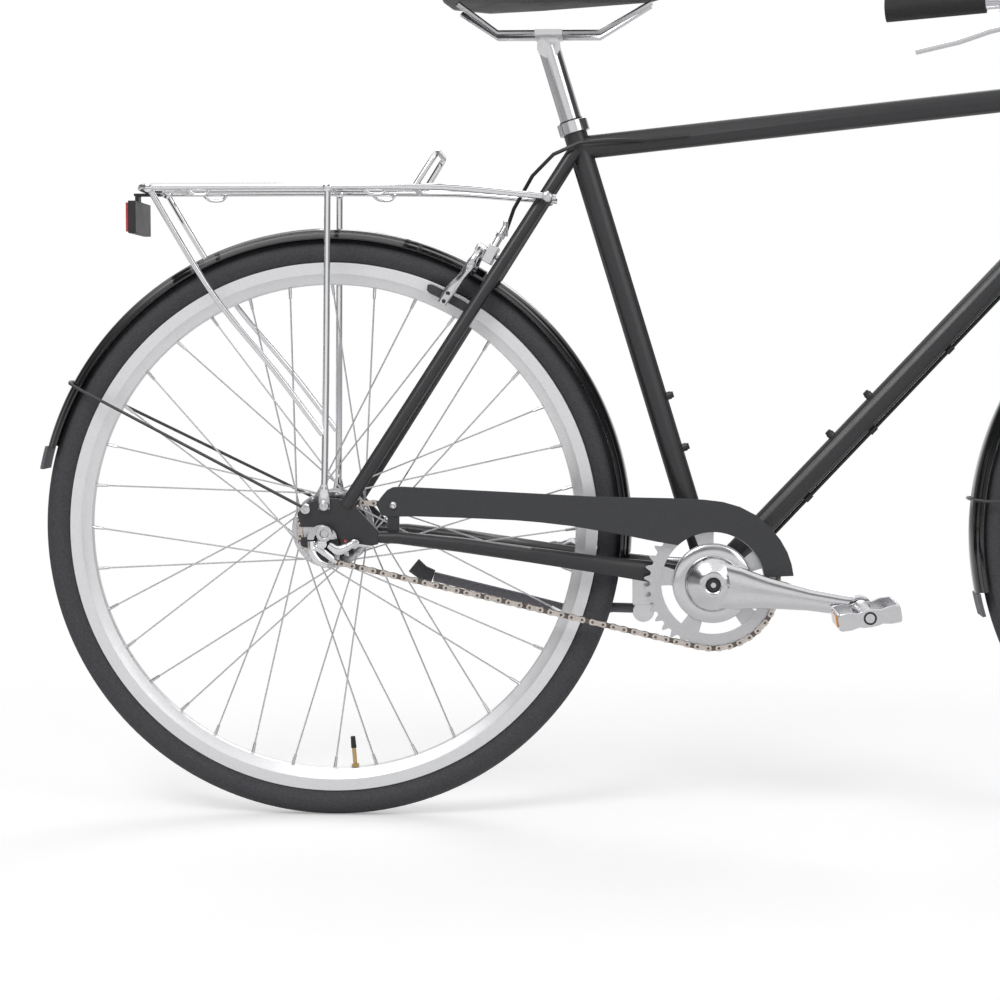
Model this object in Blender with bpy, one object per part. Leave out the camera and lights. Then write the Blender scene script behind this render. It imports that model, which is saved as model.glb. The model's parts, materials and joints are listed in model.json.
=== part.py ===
"""City bicycle with a diamond frame, mudguards, rear rack and gear hub.

Lengths are in millimetres until a mesh is made, where they become metres.
X points forward, Y to the rider's left, Z up. The layout starts at the rear
axle, and the finished bicycle is moved so that its box stands on the origin.
"""
import math

import bmesh
import bpy
from mathutils import Matrix, Vector

MM = 0.001
GAP = 0.3

# Driving dimensions of the wheels
TYRE_RADIUS = 346.0
TYRE_WIDTH = 35.0
RIM_OUTER = 316.0
RIM_INNER = 290.0
RIM_WIDTH = 24.0
WHEEL_STEPS = 40
SPOKES_PER_SIDE = 18
SPOKE_CROSSES = 3
SPOKE_RADIUS = 1.1
SPOKE_SPREAD = 2.0
REAR_FLANGE_RADIUS = 46.0
REAR_FLANGE_HALF = 28.0
REAR_SHELL_RADIUS = 38.0
FRONT_FLANGE_RADIUS = 24.0
FRONT_FLANGE_HALF = 32.0
FRONT_SHELL_RADIUS = 16.0
FLANGE_THICKNESS = 7.0
AXLE_RADIUS = 4.8

# Driving dimensions of the frame
WHEELBASE = 1112.0
BRACKET_X = 451.0
BRACKET_Z = -60.0
BRACKET_HALF = 34.0
BRACKET_RADIUS = 20.0
BRACKET_BORE = 15.5
SEAT_ANGLE = math.radians(72.85)
SEAT_TUBE_LENGTH = 568.0
DOWN_ANGLE = math.radians(46.85)
HEAD_ANGLE = math.radians(70.0)
FORK_RAKE = 55.0
TUBE_RADIUS = 14.3
HEAD_RADIUS = 18.0
HEAD_BORE = 15.0
HEAD_LOW_Z = 362.0
HEAD_HIGH_Z = 540.0
TOP_TUBE_SEAT_Z = 450.0
TOP_TUBE_HEAD_Z = 512.0
STAY_RADIUS = 8.0
REAR_DROPOUT_T = 66.0
DROPOUT_HALF = 3.0
SEAT_CLUSTER_T = 16.0
SEATSTAY_FOOT_X = 22.0
SEATSTAY_FOOT_Z = 34.0
SEATSTAY_TOP_Z = 447.0

# Driving dimensions of the drive
CHAIN_PITCH = 12.7
CHAINRING_TEETH = 38
SPROCKET_TEETH = 17
CHAIN_LINE = 44.0
TOOTH_HALF = 1.2
TOOTH_RISE = 2.0
TOOTH_DROP = 4.0
LINK_HALF_HEIGHT = 4.2
LINK_HALF_WIDTH = 4.0
LINK_ROOF = 3.0
LINK_GAP_HALF = 1.8
CRANK_LENGTH = 170.0
CRANK_ANGLE = math.radians(-8.3)
SPIDER_RADIUS = 46.0
SPINDLE_RADIUS = 9.0
PEDAL_INNER_T = 90.0
PEDAL_OUTER_T = 182.0
PEDAL_HALF_LENGTH = 35.0
PEDAL_HALF_HEIGHT = 10.0
PEDAL_TILT = math.radians(10.0)
PEDAL_AXLE_RADIUS = 5.0
GUARD_INNER_T = 55.0
GUARD_THICKNESS = 2.0

# Driving dimensions of the mudguards and the rack
FENDER_RADIUS = 357.0
FENDER_DEPTH = 12.0
FENDER_HALF = 25.0
FENDER_WALL = 1.5
REAR_FENDER_ARC = (-9.0, 164.0)
FRONT_FENDER_ARC = (62.0, 192.0)
FLAP_ARC = 4.5
STAY_WIRE_RADIUS = 2.0
RACK_HALF = 60.0
RACK_Z = 402.5
RACK_REAR_X = -222.0
RACK_FRONT_X = 106.0
RACK_ROD_RADIUS = 4.0

# Driving dimensions of the brakes
BRAKE_BOLT_RADIUS = 377.0
BRAKE_PIVOT_RADIUS = 360.0
BRAKE_PAD_RADIUS = 307.0
BRAKE_PIVOT_T = 17.0
BRAKE_ARM_T = 31.0
PAD_INNER_T = 14.6
PAD_THICKNESS = 8.0
PAD_HALF_LENGTH = 27.0
PAD_HALF_HEIGHT = 5.0
FRONT_BRAKE_ANGLE = 118.4
BRAKE_SUPPORT_GAP = 23.6
BRIDGE_RADIUS = 6.0
CROWN_HALF_DEPTH = 15.0

# Driving dimensions of the contact points
BAR_RADIUS = 12.7
BAR_HALF_WIDTH = 290.0
BAR_SWEEP = 130.0
GRIP_LENGTH = 125.0
GRIP_RADIUS = 16.5
LEVER_BARREL_RADIUS = 5.0
FOOT_FLARE = 12.0
STEM_RISE_Z = 606.0
STEM_REACH = 75.0
STEERER_RADIUS = 12.0
STEERER_STANDS_OUT = 24.0
CABLE_RADIUS = 2.5
POST_RADIUS = 13.2
POST_DEPTH = 110.0
SADDLE_Z = 612.0
SADDLE_LENGTH = 265.0
SADDLE_WIDTH = 190.0

BRACKET = (BRACKET_X, BRACKET_Z)
REAR_AXLE = (0.0, 0.0)
FRONT_AXLE = (WHEELBASE, 0.0)
CHAINRING_PITCH_RADIUS = CHAIN_PITCH / (2 * math.sin(math.pi / CHAINRING_TEETH))
SPROCKET_PITCH_RADIUS = CHAIN_PITCH / (2 * math.sin(math.pi / SPROCKET_TEETH))

COLOURS = {
    "black_paint": ((0.03, 0.03, 0.034), 0.55, 0.0),
    "gloss_black": ((0.012, 0.012, 0.013), 0.15, 0.0),
    "silver": ((0.75, 0.75, 0.77), 0.3, 1.0),
    "chrome": ((0.8, 0.8, 0.82), 0.12, 1.0),
    "rim_silver": ((0.78, 0.78, 0.8), 0.35, 0.4),
    "rubber": ((0.03, 0.03, 0.034), 0.75, 0.0),
    "chain_steel": ((0.45, 0.38, 0.34), 0.4, 1.0),
    "grey_plastic": ((0.16, 0.155, 0.17), 0.6, 0.0),
    "red_lens": ((0.55, 0.02, 0.03), 0.2, 0.0),
    "saddle_black": ((0.02, 0.02, 0.02), 0.5, 0.0),
}


def clear_scene():
    for thing in list(bpy.data.objects):
        bpy.data.objects.remove(thing, do_unlink=True)


def material(name):
    found = bpy.data.materials.get(name)
    if found:
        return found
    colour, roughness, metallic = COLOURS[name]
    made = bpy.data.materials.new(name)
    made.use_nodes = True
    shader = made.node_tree.nodes["Principled BSDF"]
    shader.inputs["Base Color"].default_value = (*colour, 1.0)
    shader.inputs["Roughness"].default_value = roughness
    shader.inputs["Metallic"].default_value = metallic
    return made


def point(x, t, z):
    """A point t millimetres out to the drive side of the wheels' plane."""
    return Vector((x, -t, z))


def polar(centre, radius, degrees):
    angle = math.radians(degrees)
    return centre[0] + radius * math.cos(angle), centre[1] + radius * math.sin(angle)


def new_object(name, vertices, faces, material_name):
    mesh = bpy.data.meshes.new(name)
    mesh.from_pydata([Vector(v) * MM for v in vertices], [], faces)
    shell = bmesh.new()
    shell.from_mesh(mesh)
    bmesh.ops.recalc_face_normals(shell, faces=shell.faces)
    shell.to_mesh(mesh)
    shell.free()
    mesh.materials.append(material(material_name))
    mesh.shade_smooth()
    mesh.set_sharp_from_angle(angle=math.radians(35))
    made = bpy.data.objects.new(name, mesh)
    bpy.context.scene.collection.objects.link(made)
    return made


def combine(base, others, operation="UNION"):
    """Join or cut solids for good, and drop the ones that were used up."""
    for other in others:
        modifier = base.modifiers.new(operation.lower(), "BOOLEAN")
        modifier.operation = operation
        modifier.solver = "EXACT"
        modifier.object = other
    bpy.context.view_layer.update()
    graph = bpy.context.evaluated_depsgraph_get()
    result = bpy.data.meshes.new_from_object(base.evaluated_get(graph))
    result.name = base.name
    base.modifiers.clear()
    base.data = result
    for other in others:
        bpy.data.objects.remove(other, do_unlink=True)
    return base


def clear_bore(radius, sides):
    """The radius of a faceted bore whose flats clear a rod by the gap."""
    return (radius + GAP) / math.cos(math.pi / sides)


def cut(base, others):
    return combine(base, others, "DIFFERENCE")


def sweep(name, path, half, material_name, sides=10, closed=False, ref=(0, 1, 0)):
    """Carry an oval section along a path. half is one size or a pair per point."""
    path = [Vector(p) for p in path]
    count = len(path)
    halves = half if isinstance(half, list) else [half] * count
    side = Vector(ref)
    vertices = []
    for i, here in enumerate(path):
        before = path[i - 1] if i or closed else here
        after = path[(i + 1) % count] if i < count - 1 or closed else here
        into = (here - before).normalized() if here != before else (after - here).normalized()
        out = (after - here).normalized() if here != after else into
        along = (into + out).normalized()
        stretch = 1.0 / max(0.5, along.dot(out))
        side = (side - along * side.dot(along)).normalized()
        up = side.cross(along)
        tall, wide = halves[i] if isinstance(halves[i], tuple) else (halves[i], halves[i])
        bend = (out - into)
        for k in range(sides):
            angle = 2 * math.pi * (k + 0.5) / sides
            offset = up * (tall * math.cos(angle)) + side * (wide * math.sin(angle))
            if bend.length > 1e-6:
                unit = bend.normalized()
                offset += unit * (offset.dot(unit) * (stretch - 1.0))
            vertices.append(here + offset)
    faces = ring_faces(count, sides, closed)
    return new_object(name, vertices, faces, material_name)


def ring_faces(rings, sides, closed):
    faces = []
    for i in range(rings if closed else rings - 1):
        j = (i + 1) % rings
        for k in range(sides):
            m = (k + 1) % sides
            faces.append((i * sides + k, i * sides + m, j * sides + m, j * sides + k))
    if not closed:
        faces.append(tuple(range(sides)))
        faces.append(tuple((rings - 1) * sides + k for k in range(sides)))
    return faces


def rod(name, start, end, radius, material_name, sides=12):
    direction = Vector(end) - Vector(start)
    ref = (0, 0, 1) if abs(direction.normalized().y) > 0.7 else (0, 1, 0)
    return sweep(name, [start, end], radius, material_name, sides, ref=ref)


def cross_rod(name, centre, radius, t0, t1, material_name, sides=16):
    return rod(name, point(centre[0], t0, centre[1]), point(centre[0], t1, centre[1]), radius,
               material_name, sides)


def plate(name, outline, t0, t1, material_name):
    count = len(outline)
    vertices = [point(x, t, z) for t in (t0, t1) for x, z in outline]
    faces = [tuple(range(count)), tuple(range(count, 2 * count))]
    for i in range(count):
        j = (i + 1) % count
        faces.append((i, j, count + j, count + i))
    return new_object(name, vertices, faces, material_name)


def turned(name, section, centre, material_name, arc=None, steps=WHEEL_STEPS):
    """Turn a closed section of (radius, t) points about a cross axis."""
    closed = arc is None
    start, end = arc if arc else (0.0, 360.0)
    rings = steps if closed else steps + 1
    vertices = []
    for i in range(rings):
        angle = start + (end - start) * i / steps
        for radius, t in section:
            x, z = polar(centre, radius, angle)
            vertices.append(point(x, t, z))
    faces = ring_faces(rings, len(section), closed)
    return new_object(name, vertices, faces, material_name)


def box(name, centre, half, material_name, axis_x=None, axis_z=None):
    """A block whose long sides follow axis_x and axis_z, given in world directions."""
    ax = Vector(axis_x) if axis_x else Vector((1, 0, 0))
    az = Vector(axis_z) if axis_z else Vector((0, 0, 1))
    ay = az.cross(ax)
    corners = []
    for sx, sy, sz in [(-1, -1, -1), (1, -1, -1), (1, 1, -1), (-1, 1, -1),
                       (-1, -1, 1), (1, -1, 1), (1, 1, 1), (-1, 1, 1)]:
        corners.append(Vector(centre) + ax * sx * half[0] + ay * sy * half[1] + az * sz * half[2])
    faces = [(0, 1, 2, 3), (4, 5, 6, 7), (0, 1, 5, 4), (1, 2, 6, 5), (2, 3, 7, 6), (3, 0, 4, 7)]
    return new_object(name, corners, faces, material_name)


def seat_tube_x(z):
    return BRACKET_X - (z - BRACKET_Z) / math.tan(SEAT_ANGLE)


def seat_tube_point(distance):
    return (BRACKET_X - distance * math.cos(SEAT_ANGLE),
            BRACKET_Z + distance * math.sin(SEAT_ANGLE))


def head_x(z):
    return WHEELBASE - FORK_RAKE / math.sin(HEAD_ANGLE) - z / math.tan(HEAD_ANGLE)


def head_point(z):
    return point(head_x(z), 0, z)


def down_tube_end():
    """Where the down tube's middle line meets the steering axis."""
    run = head_x(0) - BRACKET_X + BRACKET_Z / math.tan(DOWN_ANGLE)
    return run / (1 / math.tan(DOWN_ANGLE) + 1 / math.tan(HEAD_ANGLE))


def seatstay(z):
    """The near seatstay's middle line at a height: x and distance from the wheel's plane."""
    share = (z - SEATSTAY_FOOT_Z) / (SEATSTAY_TOP_Z - SEATSTAY_FOOT_Z)
    top_x = seat_tube_x(SEATSTAY_TOP_Z) - 6
    x = SEATSTAY_FOOT_X + share * (top_x - SEATSTAY_FOOT_X)
    return x, REAR_DROPOUT_T + share * (SEAT_CLUSTER_T - REAR_DROPOUT_T)


def build_frame():
    top = seat_tube_point(SEAT_TUBE_LENGTH)
    seat = rod("frame", point(*(BRACKET_X, 0, BRACKET_Z)), point(top[0], 0, top[1]), TUBE_RADIUS,
               "black_paint")
    head = rod("head", head_point(HEAD_LOW_Z), head_point(HEAD_HIGH_Z), HEAD_RADIUS, "black_paint", 16)
    meet = down_tube_end()
    down = rod("down", point(BRACKET_X, 0, BRACKET_Z), head_point(meet), TUBE_RADIUS, "black_paint")
    top_tube = rod("top", point(seat_tube_x(TOP_TUBE_SEAT_Z), 0, TOP_TUBE_SEAT_Z),
                   head_point(TOP_TUBE_HEAD_Z), TUBE_RADIUS - 0.4, "black_paint")
    shell = cross_rod("shell", BRACKET, BRACKET_RADIUS, -BRACKET_HALF, BRACKET_HALF, "black_paint")
    parts = [head, down, top_tube, shell]
    for side in (1, -1):
        parts += rear_stays(side)
    bridge = brake_bridge_point()
    reach = seatstay(bridge[1])[1]
    parts.append(cross_rod("bridge", bridge, BRIDGE_RADIUS, -reach, reach, "black_paint", 8))
    parts.append(cross_rod("low_bridge", (388.0, -50.0), 6.5, -30, 30, "black_paint", 8))
    parts.append(box("guard_tab", point(77, GUARD_INNER_T - GAP - 1.5, 14), (7, 1.5, 23), "black_paint"))
    parts.append(box("guard_arm", point(424, (GUARD_INNER_T - GAP + 5) / 2, 31),
                     (6, (GUARD_INNER_T - GAP - 5) / 2, 1.5), "black_paint"))
    frame = combine(seat, parts + bottle_bosses())
    post_top = seat_tube_point(SEAT_TUBE_LENGTH + 20)
    post_low = seat_tube_point(SEAT_TUBE_LENGTH - POST_DEPTH - 30)
    bores = [
        rod("head_bore", head_point(HEAD_LOW_Z - 20), head_point(HEAD_HIGH_Z + 20), HEAD_BORE,
            "black_paint", 16),
        rod("post_bore", point(post_low[0], 0, post_low[1]), point(post_top[0], 0, post_top[1]),
            POST_RADIUS + GAP, "black_paint"),
        cross_rod("shell_bore", BRACKET, BRACKET_BORE, -BRACKET_HALF - 20, BRACKET_HALF + 20,
                  "black_paint"),
    ]
    return cut(frame, bores)


def rear_stays(side):
    """Dropout, chainstay and seatstay of one side."""
    t = REAR_DROPOUT_T * side
    outline = [(-30, 6), (-34, 22), (-26, 33), (-2, 40), (14, 39), (30, 34), (60, 2), (60, -14),
               (20, -22), (-10, -24), (-30, -16), (-30, -6), (6, -6), (6, 6)]
    drop = plate("dropout", outline, t - DROPOUT_HALF, t + DROPOUT_HALF, "black_paint")
    chain_path = [point(48, 62 * side, -6), point(83, 60 * side, -6.7), point(155, 55 * side, -15),
                  point(237, 48 * side, -27), point(310, 40 * side, -38), point(378, 31 * side, -48),
                  point(440, 20 * side, -58)]
    sizes = [(6.5, 6.5), (7.5, 7.5), (9, 9), (9.5, 9), (10.5, 8), (13, 7), (13, 8)]
    chainstay = sweep("chainstay", chain_path, sizes, "black_paint")
    foot_x, foot_t = seatstay(SEATSTAY_FOOT_Z)
    top_x, top_t = seatstay(SEATSTAY_TOP_Z)
    stay = rod("seatstay", point(foot_x, foot_t * side, SEATSTAY_FOOT_Z - 4),
               point(top_x, top_t * side, SEATSTAY_TOP_Z), STAY_RADIUS, "black_paint", 10)
    return [drop, chainstay, stay]


def brake_bridge_point():
    """The seatstay bridge lies on the stays, at the brake bolt's distance from the axle."""
    for step in range(4000):
        z = 200 + step * 0.05
        x = seatstay(z)[0]
        if math.hypot(x, z) >= BRAKE_BOLT_RADIUS:
            return x, z
    return seatstay(320.0)[0], 320.0


def sleeve(name, start, end, outer, inner, material_name, sides=16):
    """A straight tube open at both ends."""
    run = Vector(end) - Vector(start)
    reach = run.normalized() * 5
    skin = rod(name, start, end, outer, material_name, sides)
    core = rod("core", Vector(start) - reach, Vector(end) + reach, inner, material_name, sides)
    return cut(skin, [core])


def build_headset():
    axis = Vector((-math.cos(HEAD_ANGLE), 0, math.sin(HEAD_ANGLE)))
    low = head_point(HEAD_LOW_Z)
    high = head_point(HEAD_HIGH_Z)
    sleeve("headset_lower_cup", low - axis * (GAP + 12), low - axis * GAP, 20.0,
           STEERER_RADIUS + GAP, "silver")
    sleeve("headset_upper_cup", high + axis * GAP, high + axis * (GAP + 14), 20.0,
           STEERER_RADIUS + GAP, "silver")


def build_bracket_cups():
    for name, side in (("right", 1), ("left", -1)):
        sleeve("bottom_bracket_cup_" + name,
               point(BRACKET_X, (BRACKET_HALF - 14) * side, BRACKET_Z),
               point(BRACKET_X, (BRACKET_HALF + 2) * side, BRACKET_Z),
               BRACKET_BORE - GAP, SPINDLE_RADIUS + GAP, "silver")


def build_seat_clamp():
    low = seat_tube_point(SEAT_TUBE_LENGTH - 16)
    high = seat_tube_point(SEAT_TUBE_LENGTH - 2)
    sleeve("seat_clamp", point(low[0], 0, low[1]), point(high[0], 0, high[1]), TUBE_RADIUS + 4,
           TUBE_RADIUS + GAP, "silver")


def build_wheel(prefix, axle, flange_radius, flange_half, shell_radius):
    half = RIM_WIDTH / 2
    turned(prefix + "_tyre", tyre_section(), axle, "rubber")
    rim = [(RIM_OUTER, -half), (RIM_OUTER - 15, -half), (RIM_INNER, -half + 7),
           (RIM_INNER, half - 7), (RIM_OUTER - 15, half), (RIM_OUTER, half)]
    turned(prefix + "_rim", rim, axle, "rim_silver")
    inner = flange_half - FLANGE_THICKNESS / 2 - GAP
    hub = [(AXLE_RADIUS + GAP, -inner), (shell_radius, -inner), (shell_radius, inner),
           (AXLE_RADIUS + GAP, inner)]
    turned(prefix + "_hub_shell", hub, axle, "silver", steps=20)
    for name, side in (("right", 1), ("left", -1)):
        build_spokes(prefix, name, side, axle, flange_radius, flange_half)


def tyre_section():
    half = TYRE_WIDTH / 2
    depth = TYRE_RADIUS - RIM_OUTER
    low = RIM_OUTER + GAP
    return [(low, -10), (low + depth * 0.25, -half + 2), (low + depth * 0.55, -half),
            (low + depth * 0.82, -half + 5), (TYRE_RADIUS, -5), (TYRE_RADIUS, 5),
            (low + depth * 0.82, half - 5), (low + depth * 0.55, half),
            (low + depth * 0.25, half - 2), (low, 10)]


def build_spokes(prefix, name, side, axle, flange_radius, flange_half):
    """One flange with its spokes: leading and trailing spokes lie on its two faces."""
    pitch = 360.0 / SPOKES_PER_SIDE
    offset = 0.0 if side > 0 else pitch / 2
    hole_radius = flange_radius - 4
    rim_face = RIM_INNER * math.cos(math.pi / WHEEL_STEPS) - 2 * GAP
    vertices = []
    faces = []
    for j in range(SPOKES_PER_SIDE):
        lead = 1 if j % 2 else -1
        outer = polar(axle, rim_face, pitch * j + offset)
        inner = polar(axle, hole_radius, pitch * j + offset + lead * pitch * SPOKE_CROSSES)
        t_hub = (flange_half + lead * SPOKE_SPREAD) * side
        t_rim = (1.0 + lead * SPOKE_SPREAD) * side
        add_prism(vertices, faces, point(inner[0], t_hub, inner[1]), point(outer[0], t_rim, outer[1]))
    spokes = new_object("spokes", vertices, faces, "silver")
    t0 = (flange_half - FLANGE_THICKNESS / 2) * side
    t1 = (flange_half + FLANGE_THICKNESS / 2) * side
    section = [(AXLE_RADIUS + GAP, t0), (flange_radius, t0), (flange_radius, t1),
               (AXLE_RADIUS + GAP, t1)]
    flange = turned(prefix + "_spokes_" + name, section, axle, "silver", steps=24)
    combine(flange, [spokes])


def add_prism(vertices, faces, start, end, sides=3):
    along = (end - start).normalized()
    side = Vector((0, 1, 0))
    side = (side - along * side.dot(along)).normalized()
    up = side.cross(along)
    base = len(vertices)
    for centre in (start, end):
        for k in range(sides):
            angle = 2 * math.pi * k / sides
            vertices.append(centre + (up * math.cos(angle) + side * math.sin(angle)) * SPOKE_RADIUS)
    faces.append(tuple(base + k for k in range(sides)))
    faces.append(tuple(base + sides + k for k in range(sides)))
    for k in range(sides):
        m = (k + 1) % sides
        faces.append((base + k, base + m, base + sides + m, base + sides + k))


def build_rear_axle():
    """Gear hub axle, its nuts, and the shift unit on the drive side."""
    axle = cross_rod("rear_axle", REAR_AXLE, AXLE_RADIUS, -84, 90, "silver", 12)
    inner = REAR_DROPOUT_T - DROPOUT_HALF - GAP
    combine(axle, [cross_rod("cone_right", REAR_AXLE, 9, CHAIN_LINE + 5 + GAP, inner, "silver", 12),
                   cross_rod("cone_left", REAR_AXLE, 11,
                             -(REAR_FLANGE_HALF + FLANGE_THICKNESS / 2 + GAP), -inner, "silver", 12)])
    face = REAR_DROPOUT_T + DROPOUT_HALF + GAP
    outline = [(-18, 14), (10, 16), (26, 6), (34, -6), (34, -18), (12, -30), (-2, -44), (-13, -40),
               (-20, -18)]
    unit = plate("shift_unit", outline, face + 2, face + 13, "chrome")
    knob = cross_rod("knob", (-5, -34), 8.0, face + 10, face + 20, "chrome", 12)
    combine(unit, [knob])
    cut(unit, [cross_rod("hole", REAR_AXLE, AXLE_RADIUS + GAP, face - 5, face + 30, "chrome", 12)])
    nut_ring("axle_nut_right", face + 13 + GAP, face + 24, 1, 9.5)
    nut_ring("axle_nut_left", face, face + 12, -1, 10.0)


def nut_ring(name, t0, t1, side, radius, centre=REAR_AXLE, bore=AXLE_RADIUS):
    section = [(bore + GAP, t0 * side), (radius, t0 * side), (radius, t1 * side),
               (bore + GAP, t1 * side)]
    turned(name, section, centre, "silver", steps=12)


def gear(name, centre, teeth, pitch_radius, t0, t1, bore, material_name):
    outline = []
    for i in range(teeth):
        for share, rise in ((-0.3, -TOOTH_DROP), (-0.12, TOOTH_RISE), (0.12, TOOTH_RISE),
                            (0.3, -TOOTH_DROP)):
            outline.append(polar(centre, pitch_radius + rise, (i + share) * 360.0 / teeth))
    wheel = plate(name, outline, t0, t1, material_name)
    return cut(wheel, [cross_rod("bore", centre, bore, t0 - 5, t1 + 5, material_name, 20)])


def build_sprocket():
    sprocket = gear("rear_sprocket", REAR_AXLE, SPROCKET_TEETH, SPROCKET_PITCH_RADIUS,
                    CHAIN_LINE - TOOTH_HALF, CHAIN_LINE + TOOTH_HALF, 16.0, "silver")
    inner = REAR_FLANGE_HALF + FLANGE_THICKNESS / 2 + GAP
    section = [(AXLE_RADIUS + GAP, inner), (17.0, inner), (17.0, CHAIN_LINE + 5),
               (AXLE_RADIUS + GAP, CHAIN_LINE + 5)]
    combine(sprocket, [turned("driver", section, REAR_AXLE, "silver", steps=20)])


def chain_path():
    """Points and outward normals of the loop round the sprocket and the chainring."""
    dx = BRACKET[0] - REAR_AXLE[0]
    dz = BRACKET[1] - REAR_AXLE[1]
    length = math.hypot(dx, dz)
    lean = math.degrees(math.atan2(dz, dx))
    open_angle = math.degrees(math.acos((CHAINRING_PITCH_RADIUS - SPROCKET_PITCH_RADIUS) / length))
    arcs = [(BRACKET, CHAINRING_PITCH_RADIUS, lean - 180 + open_angle, lean + 180 - open_angle, 20),
            (REAR_AXLE, SPROCKET_PITCH_RADIUS, lean + 180 - open_angle, lean + 180 + open_angle, 12)]
    loop = []
    for centre, radius, start, end, steps in arcs:
        for i in range(steps + 1):
            angle = start + (end - start) * i / steps
            x, z = polar(centre, radius, angle)
            loop.append((x, z, math.cos(math.radians(angle)), math.sin(math.radians(angle))))
    return loop


def build_chain():
    section = [(LINK_HALF_HEIGHT, -LINK_HALF_WIDTH), (LINK_HALF_HEIGHT, LINK_HALF_WIDTH),
               (-LINK_HALF_HEIGHT, LINK_HALF_WIDTH), (-LINK_HALF_HEIGHT, LINK_GAP_HALF),
               (LINK_ROOF, LINK_GAP_HALF), (LINK_ROOF, -LINK_GAP_HALF),
               (-LINK_HALF_HEIGHT, -LINK_GAP_HALF), (-LINK_HALF_HEIGHT, -LINK_HALF_WIDTH)]
    loop = chain_path()
    vertices = []
    for x, z, nx, nz in loop:
        for rise, t in section:
            vertices.append(point(x + nx * rise, CHAIN_LINE + t, z + nz * rise))
    new_object("chain", vertices, ring_faces(len(loop), len(section), True), "chain_steel")


def build_crankset():
    ring = gear("chainring", BRACKET, CHAINRING_TEETH, CHAINRING_PITCH_RADIUS,
                CHAIN_LINE - TOOTH_HALF, CHAIN_LINE + TOOTH_HALF, SPINDLE_RADIUS + 8, "rim_silver")
    slots = []
    for k in range(5):
        section = [(47, CHAIN_LINE - 9), (59, CHAIN_LINE - 9), (59, CHAIN_LINE + 9),
                   (47, CHAIN_LINE + 9)]
        middle = 28 + 36 + 72 * k
        slots.append(turned("slot", section, BRACKET, "rim_silver", (middle - 24, middle + 24), 4))
    cut(ring, slots)
    spindle = cross_rod("crank_spindle", BRACKET, SPINDLE_RADIUS, -62, 62, "silver", 16)
    combine(spindle, [cross_rod("bolts", BRACKET, 7.5, -69, 69, "silver", 12)])
    face = CHAIN_LINE + TOOTH_HALF + GAP
    disc = cross_rod("crank_right", BRACKET, SPIDER_RADIUS, face, face + 4, "silver", 32)
    crank_arm("crank_right", disc, 1, CRANK_ANGLE)
    crank_arm("crank_left", None, -1, CRANK_ANGLE + math.pi)


def crank_end(angle):
    return (BRACKET_X + CRANK_LENGTH * math.cos(angle), BRACKET_Z + CRANK_LENGTH * math.sin(angle))


def crank_arm(name, base, side, angle):
    end = crank_end(angle)
    near = (BRACKET_X + 25 * math.cos(angle), BRACKET_Z + 25 * math.sin(angle))
    boss_start = 49 if base else 50
    boss = cross_rod(name, BRACKET, 21.0, boss_start * side, 70 * side, "silver", 20)
    arm = sweep("arm", [point(near[0] - 12 * math.cos(angle), 64 * side, near[1] - 12 * math.sin(angle)),
                        point(near[0] + 60 * math.cos(angle), 67 * side, near[1] + 60 * math.sin(angle)),
                        point(end[0], 74 * side, end[1])],
                [(17, 5), (12, 6.5), (11, 7)], "silver", 10)
    tip = cross_rod("tip", end, 14.0, 66 * side, 81 * side, "silver", 16)
    pin = cross_rod("pin", end, PEDAL_AXLE_RADIUS, 70 * side, (PEDAL_OUTER_T - 6) * side, "silver", 12)
    parts = [arm, tip, pin]
    if base:
        parts.append(boss)
        body = combine(base, parts)
    else:
        body = combine(boss, parts)
    cut(body, [cross_rod("spindle_bore", BRACKET, SPINDLE_RADIUS + GAP, 30 * side, 90 * side, "silver")])


def build_pedal(name, side, angle):
    centre = crank_end(angle)
    lean = PEDAL_TILT
    ax = (math.cos(lean), 0, math.sin(lean))
    az = (-math.sin(lean), 0, math.cos(lean))
    middle = (PEDAL_INNER_T + PEDAL_OUTER_T) / 2
    half_t = (PEDAL_OUTER_T - PEDAL_INNER_T) / 2
    cage = box("pedal_" + name, point(centre[0], middle * side, centre[1]),
               (PEDAL_HALF_LENGTH, half_t, PEDAL_HALF_HEIGHT), "silver", ax, az)
    holes = []
    for fore in (-1, 1):
        offset = 21 * fore
        holes.append(box("hole", point(centre[0] + offset * ax[0], middle * side,
                                       centre[1] + offset * ax[2]),
                         (9, half_t - 6, 30), "silver", ax, az))
    holes.append(cross_rod("axle_bore", centre, PEDAL_AXLE_RADIUS + GAP, (PEDAL_INNER_T - 10) * side,
                           (PEDAL_OUTER_T - 5) * side, "silver", 12))
    cut(cage, holes)


def build_chainguard():
    t0 = GUARD_INNER_T
    t1 = GUARD_INNER_T + GUARD_THICKNESS
    top = [(57, 32), (75, 52), (87, 53), (312, 42), (452, 38.5), (482, 30), (506, 17), (529, -8),
           (541, -30), (545.5, -50)]
    hollow = [polar(BRACKET, 61, angle) for angle in (8, 28, 50, 72, 92, 112, 132)]
    low = [(352, -4), (285, 7.4), (218, 14), (104, 18), (70, 17), (57, 25)]
    guard = plate("chainguard", top + hollow + low, t0, t1, "black_paint")
    combine(guard, [cross_rod("bolt", (77, 31), 5.0, t1 - 1, t1 + 3.5, "silver", 12)])


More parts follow.
